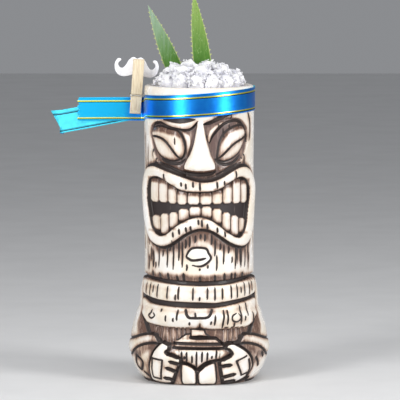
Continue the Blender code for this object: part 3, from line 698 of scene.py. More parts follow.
# Hands: angles and heights round the mug's right side, then the left one
HAND_RIGHT = [
    (17, 24.4), (17.6, 27), (21.5, 27.8), (25, 26), (29.6, 22.4), (33, 18.4), (34.8, 14.8), (35.6, 11),
    (34, 6.4), (30, 3), (24, 1), (17.4, 0.8), (15.8, 3.6), (14.6, 8), (14, 12), (13.4, 16.2), (16.6, 18.4),
    (20.6, 20.6), (18.8, 24),
]
HAND_LEFT = [
    (-24, 28.2), (-27.2, 24.6), (-30, 19.8), (-32, 15.6), (-33.4, 11), (-33.8, 5.6), (-33, 2), (-27, 0.6),
    (-20.6, 0.8), (-18, 2.4), (-16.4, 6), (-14.4, 10.6), (-12, 15.8), (-12.6, 18.4), (-20.6, 21.4),
    (-19.2, 24), (-19, 26.4), (-21.4, 27.8),
]
FINGER_GAPS = [
    [(-21, 21.2), (-16.6, 20), (-12.6, 18.2)], [(-19, 16), (-16, 15.2), (-12.8, 14.2)],
    [(-21.4, 11.6), (-18, 10.6), (-15, 9)], [(-23.4, 4.6), (-20, 4.4), (-17.4, 3.4)],
    [(21, 20.6), (18, 18.8), (14, 16.6)], [(20.8, 13.4), (18, 13.4), (14.4, 12.8)],
    [(23.8, 7.2), (20, 6.6), (15.6, 5.4)], [(24.6, 2.8), (20, 2.4), (16.4, 1.8)],
]
HAND_PLATES = [
    [(-29.6, 17.6), (-23, 16.6), (-25.4, 3.8), (-31, 4.6), (-30.8, 11), (-29.6, 17.6)],
    [(29.6, 19), (23.4, 16), (28, 6.2), (31.8, 7.6)],
]
CUFFS = [
    [(-24, 28.4), (-27.4, 24.8), (-30.4, 19.8), (-32.6, 15.6), (-34.2, 11), (-34.6, 5.6), (-34, 1.6)],
    [(17, 27.6), (21.5, 28.2), (25.4, 26.2), (30, 22.8), (33.6, 18.6), (35.6, 14.6), (36.2, 11), (35, 6)],
    [(31.6, 16.4), (32.8, 12.6), (33.2, 9), (32.2, 6.4)],
]
FOREARM_MARKS = [
    [(-41.2, 18), (-38, 14), (-40.2, 8.4), (-42.8, 11.4), (-41.2, 18)],
    [(37.6, 17), (39.4, 14), (40.4, 11.4)], [(41, 19.6), (42.4, 17)],
    [(-38.6, 6.8), (-36, 4.4), (-33.6, 2.6)], [(36, 10), (34.6, 6.6), (33, 3.6)],
    [(36.4, 3.6), (32, 2), (28, 1)],
]

# One arm, as (angle from the front in degrees, height); the other is its mirror image
ARM = [
    (80, 68.6), (77, 64), (75, 58), (73, 51), (69, 46), (62, 42), (57, 38), (52, 33), (46, 30), (38, 28.6),
    (34, 27), (40, 24), (47, 18), (52, 10), (54, 3), (60, 1.2), (80, 1.6), (104, 2.4), (122, 6), (130, 16),
    (130, 28), (124, 38), (115, 47), (107, 56), (101, 63), (94, 68),
]
ARMLET = [
    (44, 32.8), (54, 32.8), (64, 31), (74, 29), (90, 27.4), (112, 27), (129, 27.6), (130.6, 21),
    (112, 18.6), (90, 17.6), (78, 18), (71, 20.6), (62, 24.2), (52, 26.6), (43, 27.4), (37, 26.6),
]


# Patches of painted shade on each arm, where it meets the belly and round the armlet: outline as (angle,
# height), amount, softness of the edge.
ARM_PAINTED_SHADES = [
    ([(54, 33), (58, 38), (64, 42), (70, 46), (72, 40), (68, 34), (62, 32.6)], 0.8, 2.2),
    ([(42, 26), (52, 24.6), (62, 22), (70, 19), (62, 17.6), (52, 21), (44, 23.6)], 0.7, 1.8),
    ([(84, 31), (92, 40), (98, 52), (106, 46), (112, 34), (100, 30)], 0.45, 3.5),
]


def carve_arms(s):
    for arm in (ARM, flip(ARM)):
        shape = smooth(polar(arm))
        s.pad(shape, level=-0.4, edge=0.5, crown=1.3, spread=3.0)
        s.groove(shape, width=1.6, depth=0.7, ink=0.95, taper=False)
    for armlet in (ARMLET, flip(ARMLET)):
        shape = smooth(polar(armlet))
        s.pad(shape, level=0.5, edge=0.4, crown=0.9, spread=1.6)
        s.groove(shape, width=1.5, depth=0.6, ink=0.95, taper=False)
    # Painted shade on the arms.
    for outline, amount, soft in ARM_PAINTED_SHADES:
        for shade in (outline, flip(outline)):
            s.tint(smooth(polar(shade)), amount, soft)


def carve_hands(s):
    for hand in (HAND_LEFT, HAND_RIGHT):
        s.pad(curve(hand), level=1.2, edge=0.45, crown=1.7, spread=2.4)
        s.groove(curve(hand), width=1.5, depth=0.5, ink=0.95, taper=False)
    for path in FINGER_GAPS:
        s.groove(curve(path, False), width=2.1, depth=1.4)
    for path in HAND_PLATES:
        s.groove(wrap(path), width=1.1, depth=0.5, ink=0.95, taper=False)
    for path in CUFFS + FOREARM_MARKS:
        s.groove(curve(path, False), width=1.5, depth=0.7, taper=False)


def carve_body(s):
    s.band(COLLAR_TOP, HEAD_BOTTOM, level=-2.0, pool=1.0)
    s.band(COLLAR_BOTTOM, COLLAR_TOP, level=0.0, crown=0.9, spread=1.2)
    s.band(CHEST_TOP, COLLAR_BOTTOM, level=-1.8, pool=1.0)
    s.band(CHEST_BOTTOM, CHEST_TOP, level=0.2, crown=1.0, spread=1.4)
    belly = curve(BELLY, per=3)
    s.pad(belly, level=-1.6, edge=0.45, pool=0.4)
    s.tint(belly, amount=0.3, soft=1.5)
    for left, right in PILLARS:
        top = 38.4 if abs(left) < 24 else 38
        bottom = 28 if abs(left) > 16 else 30
        pillar = wrap(box(left, right, bottom, top))
        s.pad(pillar, level=-0.9, crown=0.4, spread=0.8)
        s.tint(pillar, amount=0.45, soft=1.0)
    for shape in (STEP_LEFT, NAVEL_PLATE):
        s.pad(wrap(shape), level=-0.3, crown=0.3, spread=1.0)
        s.groove(wrap(shape), width=0.9, depth=0.4, ink=0.8, taper=False)
    s.pad(wrap(WAIST), level=0.2, crown=0.5, spread=1.2)
    s.pad(wrap(SKIRT), level=-0.1, crown=0.4, spread=1.5)
    for leg in (LEG_LEFT, LEG_RIGHT):
        s.pad(curve(leg), level=0.4, edge=0.4, crown=1.8, spread=2.6)
        s.groove(curve(leg), width=1.1, depth=0.5, ink=0.8, taper=False)
    for path in WAIST_LINES + HEM:
        s.groove(wrap(path), width=1.7, depth=0.9, taper=False)
    s.strokes(COLLAR_STROKES + CHEST_STROKES + SKIRT_STROKES, width=1.0, depth=0.6, drift=-0.2)
    s.groove(curve(SHIELD, False), width=1.4, depth=0.8, taper=False)
    s.groove(wrap(SHIELD_PRONG), width=1.0, depth=0.6)
    for ring in CHEST_RINGS:
        s.groove(curve(ring, False), width=0.9, depth=0.5)


# Areas of grain: first and last angle from the front, lowest and highest middle, number of strokes
GRAIN = [(44, 316, 74, 170, 84), (70, 290, 57, 65, 30), (70, 290, 40, 51, 30), (122, 238, 5, 37, 34)]


def carve_grain(s):
    """Long strokes of wood grain round the flanks and the back, where no face is carved."""
    draw = random.Random(11)
    for first, last, low, high, count in GRAIN:
        for _ in range(count):
            turn = draw.uniform(first, last)
            middle = draw.uniform(low, high)
            half = min(draw.uniform(3, 16), (high - low) / 2)
            ends = max(low, middle - half), min(high, middle + half)
            u = (math.radians(turn) + math.pi) % (2 * math.pi) - math.pi
            u *= REF
            sway = draw.uniform(-0.5, 0.5)
            path = [(u, ends[1]), (u + sway, (ends[0] + ends[1]) / 2), (u, ends[0])]
            s.groove(path, width=draw.uniform(0.7, 1.2), depth=0.45, ink=0.8)


# The foot's and the cavity's sections, as (radius, height)
FOOT = [(0.1, 0.9), (16, 0.9), (30.4, 0.9), (31.4, 0.1), (33, 0.0), (35.2, 0.0)]
CAVITY = [
    (33.4, 195.0), (32.5, 194.7), (31.9, 194), (31.7, 193), *((31.7, 193 - 9 * k) for k in range(1, 20)),
    (31.6, 13), (30.6, 10), (28, 8), (24, 6.8), (12, 6.5), (0.1, 6.5),
]


def add_fields(mesh, **fields):
    """A number for each point of the mesh, for its material."""
    for name, values in fields.items():
        mesh.attributes.new(name, "FLOAT", "POINT").data.foreach_set("value", values)


def mug_mesh(s):
    """The whole pot: foot, outer side, rim, cavity and floor."""
    outer = [(s.radius[i], z) for i, z in enumerate(s.z) if z > 0.2]
    rings = FOOT + outer + CAVITY
    count = len(s.angle)
    radius = np.array([np.broadcast_to(r, count) for r, _ in rings], float)
    height = np.array([np.full(count, z) for _, z in rings], float)
    points = np.stack([radius * np.sin(s.angle), -radius * np.cos(s.angle), height], axis=-1)
    points = points.reshape(-1, 3) * MM
    grid = np.arange(len(points)).reshape(len(rings), count)
    right = np.roll(grid, -1, axis=1)
    quads = np.stack([grid[:-1], right[:-1], right[1:], grid[1:]], axis=-1).reshape(-1, 4)
    mesh = bpy.data.meshes.new("mug_ceramic")
    mesh.vertices.add(len(points))
    mesh.vertices.foreach_set("co", points.ravel().astype(np.float32))
    mesh.loops.add(quads.size)
    mesh.loops.foreach_set("vertex_index", quads.ravel().astype(np.int32))
    mesh.polygons.add(len(quads))
    mesh.polygons.foreach_set("loop_start", np.arange(0, quads.size, 4, dtype=np.int32))
    mesh.update(calc_edges=True)

    def on_all_rings(field):
        full = np.zeros((len(rings), count), np.float32)
        full[len(FOOT) : len(FOOT) + len(outer)] = field[-len(outer) :]
        return full.ravel()

    add_fields(mesh, wash=on_all_rings(s.wash), halo=on_all_rings(s.halo), pool=on_all_rings(s.pool))
    return mesh


def stain(s):
    """Wash that settles in the carving: sharp in grooves, soft round deep places."""
    below_ribbon = 1 - step_up(176, 182, s.z)[:, None]
    near = (s.blurred(s.radius, 0.7) - s.radius) * below_ribbon
    wide = (s.blurred(s.radius, 2.4) - s.radius) * below_ribbon
    hollow, raised = np.clip(wide, 0, None), np.clip(-wide, 0, None)
    s.wash = np.clip(s.wash * 0.9 + np.clip(near - 0.07, 0, None) * 1.2, 0, 1)
    soft = s.blurred(s.wash, 1.4) * 1.4 + s.blurred(s.wash + s.pool, 4.0) * 0.7 + s.stained
    s.halo = np.clip(soft + hollow * 0.6 - np.clip(-wide - 0.15, 0, None) * 0.6, 0, 1)
    s.pool = np.clip(s.pool - raised * 0.6, 0, 1)


# Places rubbed clean: outline, amount, softness of the edge
RUBBED = [
    (SKIRT, 0.75, 1.2), (KNOT_LOOP, 0.4, 1.0), (WAIST, 0.5, 1.0), (NAVEL_PLATE, 0.5, 0.8),
    (STEP_LEFT, 0.4, 0.8), (LEG_LEFT, 0.3, 1.0), (LEG_RIGHT, 0.3, 1.0), (HAND_LEFT, 0.25, 1.0),
    (HAND_RIGHT, 0.25, 1.0), (NOSE, 0.1, 1.0), (CHEST_MIDDLE, 0.25, 1.5), (COLLAR_MIDDLE, 0.25, 1.2),
    (CHIN_MIDDLE, 0.3, 3.0),
]


def wipe_raised_places(s):
    for outline, amount, soft in RUBBED:
        s.wipe(curve(outline), amount, soft)


def build_mug():
    s = Surface()
    for step in (
        carve_grain, carve_body, carve_arms, carve_hands, carve_eyes, carve_nose, carve_mouth, carve_chin,
        wipe_raised_places, stain,
    ):
        step(s)
    mug = new_object("mug_ceramic", mug_mesh(s), ceramic_material(), "mug", "ceramic", "mug_body")
    mug.data.shade_smooth()


# ---------------------------------------------------------------- helpers for the dressing


def placed(name, data):
    obj = bpy.data.objects.new(name, data)
    bpy.context.scene.collection.objects.link(obj)
    return obj


def new_object(name, mesh, material, body, slot, *nodes):
    """A visible piece that rides a body and stands in for CAD nodes."""
    obj = placed(name, mesh)
    mesh.materials.append(material)
    if nodes:
        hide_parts(*nodes)
    if body:
        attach(obj, body)
    return obj


def apply_modifiers(obj):
    """Makes what the modifiers give the object's own mesh."""
    bpy.context.view_layer.update()
    mesh = bpy.data.meshes.new_from_object(obj.evaluated_get(bpy.context.evaluated_depsgraph_get()))
    obj.modifiers.clear()
    obj.data = mesh


def clean_copy(node, merge, flat):
    """The CAD node's own mesh, with its flat faces whole again."""
    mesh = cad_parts[node].data.copy()
    mesh.materials.clear()
    tidy = bmesh.new()
    tidy.from_mesh(mesh)
    bmesh.ops.remove_doubles(tidy, verts=tidy.verts, dist=merge * MM)
    bmesh.ops.dissolve_limit(tidy, angle_limit=math.radians(flat), verts=tidy.verts, edges=tidy.edges)
    tidy.to_mesh(mesh)
    tidy.free()
    return mesh


def soften(obj, width, segments, crease, sharp):
    """Rounds the edges that bend by more than the crease angle."""
    bevel = obj.modifiers.new("Edges", "BEVEL")
    bevel.width = width * MM
    bevel.segments = segments
    bevel.limit_method = "ANGLE"
    bevel.angle_limit = math.radians(crease)
    apply_modifiers(obj)
    obj.data.shade_smooth()
    obj.data.set_sharp_from_angle(angle=math.radians(sharp))


# ---------------------------------------------------------------- ribbon

BAND_RADIUS = 36.75
BAND_HEIGHT = 183.8
BAND_TILT = math.tan(math.radians(4))
RIBBON_HALF = 7.7
TAIL_HEIGHT = 179.0
GATHER = 9.0  # run of band over which it sinks to the height of the tails
# Tails: side of the pinch (-1 is the front), length, fall for each millimetre of it, sway at its end
FRONT_TAIL, BACK_TAIL = (-1, 35, 0.0, 1.6), (1, 48, 0.19, 2.4)
PEG_X = -41.2
PIVOT = Vector((PEG_X, 0, 189.2))
RIBBON_COLUMNS = 24
RIBBON_SHELL = 0.3
# TAIL_LIT_BLUE is painted light: the lighter cyan of the front tail where it faces the lamps.
BLUE, TAIL_LIT_BLUE, YELLOW = (0.015, 0.25, 0.92), (0.0, 0.45, 0.82), (0.85, 0.85, 0.10)
CYAN, DARK_CYAN = (0.06, 0.62, 0.80), (0.02, 0.30, 0.40)


def tail_points(side, length, drop, sway, steps=26):
    """Middles of a tail, with the ribbon's upward direction at each, from the peg outwards."""
    made = []
    for i in range(steps + 1):
        share = i / steps
        distance = length * share
        flutter = 0.25 * math.sin(share * 7 + side) * share
        y = side * (0.4 + sway * share * share) + flutter
        up = Vector((0, side * 0.05 * share, 1)).normalized()
        made.append((Vector((PEG_X - 4.4 - distance, y, TAIL_HEIGHT - drop * distance)), up))
    return made


def ribbon_path():
    near, fold = 0.4, 1.5  # half of the pinched gap, and the radius of the bend beside it
    corner = PEG_X + 3.1
    upright = Vector((0, 0, 1))
    front, back = [], []
    for i in range(7):
        angle = math.radians(15 * i)
        x, y = corner + fold * math.sin(angle), near + fold * (1 - math.cos(angle))
        front.append((Vector((x, -y, TAIL_HEIGHT)), upright))
        back.append((Vector((x, y, TAIL_HEIGHT)), upright))
    start = math.asin((near + fold + 1.2) / BAND_RADIUS)
    band, steps = [], 180
    for i in range(steps + 1):
        turn = 2 * (math.pi - start) * i / steps
        angle = math.pi + start + turn
        x, y = BAND_RADIUS * math.cos(angle), BAND_RADIUS * math.sin(angle)
        run = BAND_RADIUS * min(turn, 2 * (math.pi - start) - turn)
        risen = float(step_up(0, GATHER, run))
        level = BAND_HEIGHT + x * BAND_TILT
        band.append((Vector((x, y, TAIL_HEIGHT + (level - TAIL_HEIGHT) * risen)), upright))
    return tail_points(*FRONT_TAIL)[::-1] + front + band + back[::-1] + tail_points(*BACK_TAIL)


def ribbon_material(name, face, tail, thread, rough, metal):
    """Satin with a bright thread and a dark line inside each edge, and a front tail painted a lighter, less
    metallic blue as painted light.
    """
    s = Shader(name, Roughness=rough, Metallic=metal)
    across, along = s.attribute("across"), s.attribute("along")
    place = s.node("ShaderNodeCombineXYZ")
    s.link(along, place.inputs["X"])
    s.link(s.maths("MULTIPLY", across, 2 * RIBBON_HALF), place.inputs["Y"])
    cloudy = s.noise(place.outputs["Vector"], 0.13, 2)
    lighter = tuple(min(1, 1.3 * c) for c in face)
    colour = s.ramp(cloudy, [(0.35, face), (0.65, lighter)])
    # Painted light: the front tail is painted a lighter blue and made less metallic, so that it looks lit.
    lit_front_tail = s.ramp(s.maths("DIVIDE", along, 100), [(0.3, 1), (0.38, 0)])
    colour = s.mix(lit_front_tail, colour, tail)
    edges = [(0.0, 0), (0.055, 1), (0.09, 0), (0.785, 1), (0.82, 0)]
    threads = [(0.0, 0), (0.09, 1), (0.14, 0), (0.82, 1), (0.87, 0)]
    for marks, tint in ((edges, (0.003, 0.015, 0.05)), (threads, thread)):
        colour = s.mix(s.ramp(across, marks, "CONSTANT"), colour, tint)
    s.drive("Base Color", colour)
    shine = s.maths("SUBTRACT", 1.0, s.maths("MULTIPLY", lit_front_tail, 0.7))
    s.drive("Metallic", s.maths("MULTIPLY", metal, shine))
    ribs = s.maths("SINE", s.maths("MULTIPLY", along, 14.0))
    s.bump(ribs, 0.00002, 0.15)
    return s.material


def build_ribbon():
    path = ribbon_path()
    lengths = [0.0]
    for (a, _), (b, _) in zip(path, path[1:]):
        lengths.append(lengths[-1] + (b - a).length)
    columns = RIBBON_COLUMNS
    shares = [k / columns for k in range(columns + 1)]
    points, across, along = [], [], []
    for (middle, up), passed in zip(path, lengths):
        points += [middle + up * ((2 * share - 1) * RIBBON_HALF) for share in shares]
        across += shares
        along += [passed] * len(shares)
    # The front tail is cut in a zigzag and the back one on a slant
    for k, share in enumerate(shares):
        points[k].x += 2.2 * abs((share * 4 + 0.1) % 1 - 0.5) * 2
        points[k - len(shares)].x += 8.6 * (0.5 - share)
    faces = []
    for i in range(len(path) - 1):
        for k in range(columns):
            a = i * (columns + 1) + k
            faces.append((a, a + 1, a + columns + 2, a + columns + 1))
    mesh = bpy.data.meshes.new("ribbon_satin")
    mesh.from_pydata([p * MM for p in points], [], faces)
    add_fields(mesh, across=across, along=along)
    outside = ribbon_material("ribbon_face", BLUE, TAIL_LIT_BLUE, YELLOW, rough=0.31, metal=1.0)
    inside = ribbon_material("ribbon_reverse", CYAN, CYAN, DARK_CYAN, rough=0.6, metal=0.3)
    ribbon = new_object("ribbon_satin", mesh, inside, "ribbon", "satin", "ribbon")
    mesh.materials.append(outside)
    shell = ribbon.modifiers.new("Thickness", "SOLIDIFY")
    shell.thickness = RIBBON_SHELL * MM
    shell.offset = 0
    shell.material_offset = 1
    apply_modifiers(ribbon)
    ribbon.data.shade_smooth()


# ---------------------------------------------------------------- peg and moustache


def wood_material():
    s = Shader("peg_wood", Roughness=0.62, Specular_IOR_Level=0.3)
    grain = s.noise(s.position((1, 1, 0.06)), 1.1, 5, 0.6)
    broad = s.noise(s.position((1, 1, 0.2)), 0.25, 2)
    dark, middle, pale = (0.42, 0.30, 0.17), (0.66, 0.55, 0.37), (0.76, 0.67, 0.50)
    colour = s.ramp(grain, [(0.3, dark), (0.5, middle), (0.75, pale)])
    colour = s.mix(s.maths("MULTIPLY", broad, 0.3), colour, (0.78, 0.73, 0.62))
    s.drive("Base Color", colour)
    s.bump(grain, 0.0001, 0.5)
    return s.material


def paint_material():
    s = Shader("moustache_paint", Roughness=0.38)
    mottled = s.noise(s.position(), 0.35, 3)
    s.drive("Base Color", s.ramp(mottled, [(0.3, (0.80, 0.80, 0.84)), (0.7, (0.90, 0.90, 0.92))]))
    s.bump(s.noise(s.position(), 1.2, 2), 0.00005, 0.4)
    return s.material


def steel_material():
    s = Shader("spring_steel", Metallic=1.0, Roughness=0.3)
    worn = s.noise(s.position(), 0.8, 3)
    s.drive("Base Color", s.ramp(worn, [(0.3, (0.42, 0.40, 0.36)), (0.7, (0.62, 0.60, 0.56))]))
    return s.material


def build_peg():
    wood, paint = wood_material(), paint_material()
    for node, name, material, body, slot, edges in (
        ("clip_front_half", "peg_front_half", wood, "clip_front", "peg_wood", (0.25, 2)),
        ("clip_back_half", "peg_back_half", wood, "clip_back", "peg_wood", (0.25, 2)),
        ("moustache", "moustache_cutout", paint, "clip_back", "white_paint", (0.3, 3)),
    ):
        piece = new_object(name, clean_copy(node, merge=0.002, flat=1), material, body, slot, node)
        soften(piece, *edges, crease=40, sharp=45)
    build_spring()


def build_spring():
    """A coil along the peg's width, and an arm that lies across the front half."""
    wire, coil, width, turns = 0.4, 1.7, 7.3, 6
    face, sunk, gap = 4.05, 0.6, 0.3
    reach = face - sunk + gap + wire
    end = width / 2 + wire + 0.3
    half_span = width / 2 - wire
    low = -1.1
    points = [(half_span, -reach, low), (wire - end, -reach, low), (0.1 - end, 0.1 - reach, low)]
    points.append((-end, wire - reach, low))
    points.append((-end, -coil, 0))
    count = turns * 24
    for i in range(1, count):
        angle = 2 * math.pi * turns * i / count
        points.append((half_span * (2 * i / count - 1), -coil * math.cos(angle), coil * math.sin(angle)))
    points += [(end, -coil, 0), (end, -coil - wire, coil / 2)]
    line = bpy.data.curves.new("spring_wire", "CURVE")
    line.dimensions = "3D"
    line.bevel_depth = wire * MM
    line.bevel_resolution = 3
    line.use_fill_caps = True
    spline = line.splines.new("POLY")
    spline.points.add(len(points) - 1)
    turn = Euler((0, math.radians(4), 0)).to_matrix()
    for point, place in zip(spline.points, points):
        point.co = (*((PIVOT + turn @ Vector(place)) * MM), 1)
    holder = placed("spring_wire_curve", line)
    bpy.context.view_layer.update()
    mesh = bpy.data.meshes.new_from_object(holder.evaluated_get(bpy.context.evaluated_depsgraph_get()))
    bpy.data.objects.remove(holder)
    mesh.name = "spring_wire"
    spring = new_object("spring_wire", mesh, steel_material(), None, "steel", "clip_spring")
    mesh.shade_smooth()
    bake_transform(spring)


# ---------------------------------------------------------------- ice


def ice_material(name, cloud, least=0.05):
    """Ice that is clear in places and white where it is full of cracks.

    Its clearest places let 1 - cloud of the light through, and its whitest the least."""
    s = Shader(name, IOR=1.31, Subsurface_Weight=0.7, Subsurface_Scale=0.005)
    s.main.inputs["Subsurface Radius"].default_value = (1, 1, 1.1)
    milky = s.noise(s.position(), 0.16, 3, 0.6)
    s.drive("Base Color", s.ramp(milky, [(0.3, (0.88, 0.88, 0.98)), (0.6, (0.96, 0.95, 1.0))]))
    clear = s.ramp(milky, [(0.36, 1 - cloud), (0.55, least)])
    s.drive("Transmission Weight", clear)
    s.drive("Roughness", s.ramp(milky, [(0.3, 0.1), (0.7, 0.3)]))
    s.bump(s.noise(s.position(), 0.45, 2, 0.5), 0.0002, 0.4)
    return s.material


def shard(rng, size, stretch):
    """A splinter of ice: the hull of a few scattered corners."""
    blob = bmesh.new()
    for _ in range(rng.randint(7, 10)):
        way = Vector((rng.gauss(0, 1), rng.gauss(0, 1), rng.gauss(0, 1))).normalized()
        blob.verts.new(Vector((way.x, way.y, way.z * stretch)) * size * rng.uniform(0.7, 1.05))
    turn = Euler((rng.uniform(0, 3), rng.uniform(0, 3), rng.uniform(0, 6))).to_matrix()
    bmesh.ops.rotate(blob, verts=blob.verts, matrix=turn)
    hull = bmesh.ops.convex_hull(blob, input=blob.verts)
    loose = {g for g in hull["geom_interior"] + hull["geom_unused"] if isinstance(g, bmesh.types.BMVert)}
    bmesh.ops.delete(blob, geom=list(loose), context="VERTS")
    return blob


ICE_EDGES = dict(width=0.25, segments=2, crease=15, sharp=20)
HEAP_RADIUS, HEAP_FOOT, HEAP_RISE = 31, 195.4, 11.6
MOUTH_RADIUS = 31.4  # no splinter reaches further out
HEAP_CHIPS, LUMP_CHIPS = 470, 700  # splinters laid on the whole heap, and on the lumps' faces


def clear_of_others(place, size):
    """Whether a splinter here misses both leaves and the moustache."""
    for name, room in LEAF_ROOM.items():
        lean = math.radians(LEAVES[name]["lean"])
        across = Vector((math.cos(lean), 0, math.sin(lean)))
        offset = Vector(place) - Vector(LEAVES[name]["base"])
        if abs(offset.dot(across)) < room + size and abs(offset.y) < 1.6 + size:
            return False
    low, high = (Vector(corner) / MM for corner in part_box("moustache"))
    beside = place[0] - size > high.x + 0.6
    before = place[1] + size < low.y - 0.6 or place[1] - size > high.y + 0.6
    return beside or before or place[2] + size < low.z - 3.6


def add_chip(bits, rng, place, size):
    """Adds a splinter here, unless it would meet the rim, a leaf or the moustache."""
    if math.hypot(place[0], place[1]) + size > MOUTH_RADIUS or not clear_of_others(place, size * 1.6):
        return False
    blob = shard(rng, size * MM, rng.choice((0.35, 0.5, 1.0, 1.7, 2.0)))
    bmesh.ops.translate(blob, verts=blob.verts, vec=Vector(place) * MM)
    piece = bpy.data.meshes.new("chip")
    blob.to_mesh(piece)
    blob.free()
    bits.from_mesh(piece)
    bpy.data.meshes.remove(piece)
    return True


def build_ice():
    glass = ice_material("ice_clear", 0.75)
    splinters = ice_material("ice_splinters", 0.85)
    rng = random.Random(5)
    spots = []
    for node in sorted(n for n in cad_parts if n.startswith("ice_chunk")):
        mesh = clean_copy(node, merge=0.01, flat=4)
        spots += [face.center / MM for face in mesh.polygons if face.normal.z > -0.3]
        soften(new_object(node.replace("chunk", "lump"), mesh, glass, "ice", "ice", node), **ICE_EDGES)
    bits = bmesh.new()
    made = 0
    while made < HEAP_CHIPS:
        turn, out = rng.uniform(0, 2 * math.pi), HEAP_RADIUS * math.sqrt(rng.uniform(0.01, 1))
        size = rng.uniform(1.1, 3.0) if out < 26 else rng.uniform(0.9, 2.0)
        heap = HEAP_FOOT + HEAP_RISE * max(0.0, 1 - (out / HEAP_RADIUS) ** 2) ** 0.75
        place = (out * math.cos(turn), out * math.sin(turn), heap + rng.uniform(-1.2, 1.9))
        made += add_chip(bits, rng, place, size)
    for _ in range(LUMP_CHIPS):
        spot = rng.choice(spots)
        add_chip(bits, rng, [value + rng.gauss(0, 0.9) for value in spot], rng.uniform(0.7, 2.1))
    top = shard(random.Random(3), 8.4 * MM, 0.85)
    bmesh.ops.translate(top, verts=top.verts, vec=Vector((-0.5, -8.5, 204)) * MM)
    glassy = ice_material("ice_glassy", 0.05, 0.6)
    for name, blob, material in (("ice_chips", bits, splinters), ("ice_top_lump", top, glassy)):
        mesh = bpy.data.meshes.new(name)
        blob.to_mesh(mesh)
        blob.free()
        lump = new_object(name, mesh, material, "ice", "ice")
    lump.modifiers.new("Rounded", "SUBSURF").levels = 3
    apply_modifiers(lump)
    lump.data.shade_smooth()
    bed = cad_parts["ice_bed"]
    bed.data.materials.clear()
    bed.data.materials.append(ice_material("ice_packed", 0.85))


# ---------------------------------------------------------------- leaves


LEAVES = {
    "leaf_left": dict(base=(-16.5, 12, 205), lean=22.5, above=45.4, below=32, width=11, dull=True),
    "leaf_right": dict(base=(2.4, 4, 208), lean=7.5, above=48.5, below=33, width=11.8, dull=False),
}
LEAF_ROOM = {"leaf_left": 5.6, "leaf_right": 6.2}  # half widths that the ice leaves free


def leaf_material(name, dull):
    s = Shader(name, Roughness=0.42, Subsurface_Weight=0.15, Subsurface_Scale=0.002)
    s.main.inputs["Subsurface Radius"].default_value = (0.4, 0.8, 0.2)
    height, edge = s.attribute("height"), s.attribute("edge")
    fibres = s.noise(s.position((1, 1, 0.08)), 0.9, 4)
    low, high = (0.06, 0.17, 0.015), (0.24, 0.33, 0.24) if dull else (0.22, 0.33, 0.08)
    uneven = s.maths("MULTIPLY", s.maths("SUBTRACT", fibres, 0.5), 0.7)
    colour = s.ramp(s.maths("ADD", height, uneven), [(0.1, low), (0.9, high)])
    spots = s.noise(s.position((1, 1, 0.5)), 0.9, 2)
    colour = s.mix(s.ramp(spots, [(0.62, 0), (0.74, 0.4)]), colour, (0.33, 0.45, 0.2))
    colour = s.mix(s.ramp(edge, [(0.55, 0), (1, 1)]), colour, (0.40, 0.45, 0.17))
    s.drive("Base Color", colour)
    s.bump(fibres, 0.0002, 0.5)
    return s.material


def build_leaf(name, base, lean, above, below, width, dull):
    """A thick leaf, hollow along its front, with a row of hooked spines on each margin."""
    half = width / 2
    rows, columns = 90, 16
    points, height, edge = [], [], []
    for side in (1, -1):
        for i in range(rows + 1):
            z = -below + (above + below) * i / rows
            share = min(1.0, max(0.0, z / above))
            wide = max(0.05, half * (1 - share ** 1.9))
            thick = 1.2 if z < 0 else 1.2 * (1 - share) ** 0.6 + 0.1
            for k in range(columns + 1):
                t = 2 * k / columns - 1
                y = thick * (1 - abs(t) ** 2.4)
                if side == 1:
                    hollow = 0.55 * thick * (1 - t * t) if z > -4 else 0
                    y = -(y - 1.5 * hollow)
                points.append((wide * t, y * 0.95, z))
                height.append(share)
                edge.append(abs(t) ** 5 if z > 0 else 0)
    count = (rows + 1) * (columns + 1)
    faces = []
    for i in range(rows):
        for k in range(columns):
            a = i * (columns + 1) + k
            b = a + columns + 1
            faces.append((a, a + 1, b + 1, b))
            faces.append((count + a, count + b, count + b + 1, count + a + 1))
    spines = int(above / 3.4)
    draw = random.Random(len(name))
    for i in range(spines):
        for way in (1, -1):
            z = (i + draw.uniform(0.25, 0.75)) * above / spines
            if z > 0.93 * above:
                continue
            wide = half * (1 - (z / above) ** 1.9)
            start = len(points)
            size = draw.uniform(1.1, 1.7) * (1 - 0.5 * z / above)
            x = way * (wide - 0.25)
            points += [(x, -0.3, z - 0.8), (x, 0.3, z - 0.8), (x, 0, z + 0.7), (x + way * size, 0, z + 0.6)]
            height += [z / above] * 4
            edge += [1.0] * 4
            order = [(0, 1, 3), (1, 2, 3), (2, 0, 3), (0, 2, 1)]
            faces += [tuple(start + n for n in (f if way == 1 else f[::-1])) for f in order]
    mesh = bpy.data.meshes.new(name + "_blade")
    mesh.from_pydata([Vector(p) * MM for p in points], [], faces)
    add_fields(mesh, height=height, edge=edge)
    tidy = bmesh.new()
    tidy.from_mesh(mesh)
    bmesh.ops.remove_doubles(tidy, verts=tidy.verts, dist=0.01 * MM)
    bmesh.ops.holes_fill(tidy, edges=[e for e in tidy.edges if e.is_boundary], sides=0)
    bmesh.ops.recalc_face_normals(tidy, faces=tidy.faces)
    tidy.to_mesh(mesh)
    tidy.free()
    turn = Euler((0, -math.radians(lean), 0)).to_matrix().to_4x4()
    mesh.transform(Matrix.Translation(Vector(base) * MM) @ turn)
    mesh.shade_smooth()
    mesh.set_sharp_from_angle(angle=math.radians(50))
    new_object(name + "_blade", mesh, leaf_material(name + "_skin", dull), name, "leaf", name)


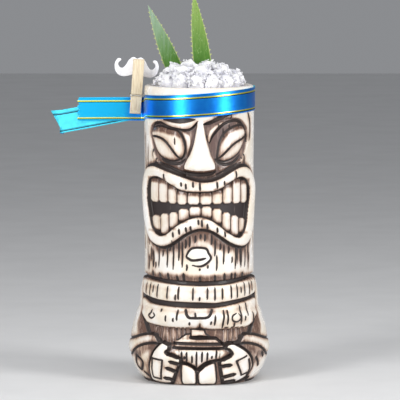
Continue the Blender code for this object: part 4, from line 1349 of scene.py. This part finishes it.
# ---------------------------------------------------------------- stage


def build_stage():
    bpy.ops.mesh.primitive_plane_add(size=6)
    floor = bpy.context.object
    floor.name = "floor"
    material = Shader("floor_paper", Roughness=0.7)
    mottled = material.noise(material.position(), 0.02)
    material.drive("Base Color", material.ramp(mottled, [(0.3, 0.72), (0.7, 0.76)]))
    floor.data.materials.append(material.material)
    world = bpy.data.worlds.new("studio")
    bpy.context.scene.world = world
    world.use_nodes = True
    sky = world.node_tree.nodes["Background"].inputs
    sky["Color"].default_value, sky["Strength"].default_value = (0.78, 0.80, 0.84, 1), 0.33


def soft_light(name, azimuth, elevation, distance, size, power):
    """A softbox that looks at the mug; azimuth is from the camera's side, positive to the right."""
    light = bpy.data.lights.new(name, "AREA")
    light.shape = "RECTANGLE"
    light.size, light.size_y = size
    light.energy = power
    lamp = placed(name, light)
    turn, rise = math.radians(azimuth), math.radians(elevation)
    aim = Vector((0, 0, 0.11))
    way = Vector((math.sin(turn) * math.cos(rise), -math.cos(turn) * math.cos(rise), math.sin(rise)))
    lamp.location = aim + way * distance
    lamp.rotation_euler = (-way).to_track_quat("-Z", "Y").to_euler()


def build_lights():
    soft_light("softbox_left", azimuth=-38, elevation=20, distance=1.1, size=(0.3, 0.9), power=8.6)
    soft_light("softbox_right", azimuth=54, elevation=20, distance=1.1, size=(0.34, 0.9), power=9.0)
    soft_light("softbox_top", azimuth=0, elevation=76, distance=1.2, size=(0.8, 0.8), power=4.6)


def build_camera():
    camera = bpy.data.cameras.new("camera")
    camera.lens = 401
    camera.sensor_width = 36
    camera.clip_end = 20
    holder = placed("camera", camera)
    aim = Vector((0.0006, 0, 0.1186))
    holder.location = (0.0006, -2.93, 0.40)
    holder.rotation_euler = (aim - holder.location).to_track_quat("-Z", "Y").to_euler()
    bpy.context.scene.camera = holder
    bpy.context.scene.view_settings.view_transform = "Standard"


build_mug()
build_ribbon()
build_peg()
build_ice()
for leaf, shape in LEAVES.items():
    build_leaf(leaf, **shape)
build_stage()
build_lights()
build_camera()
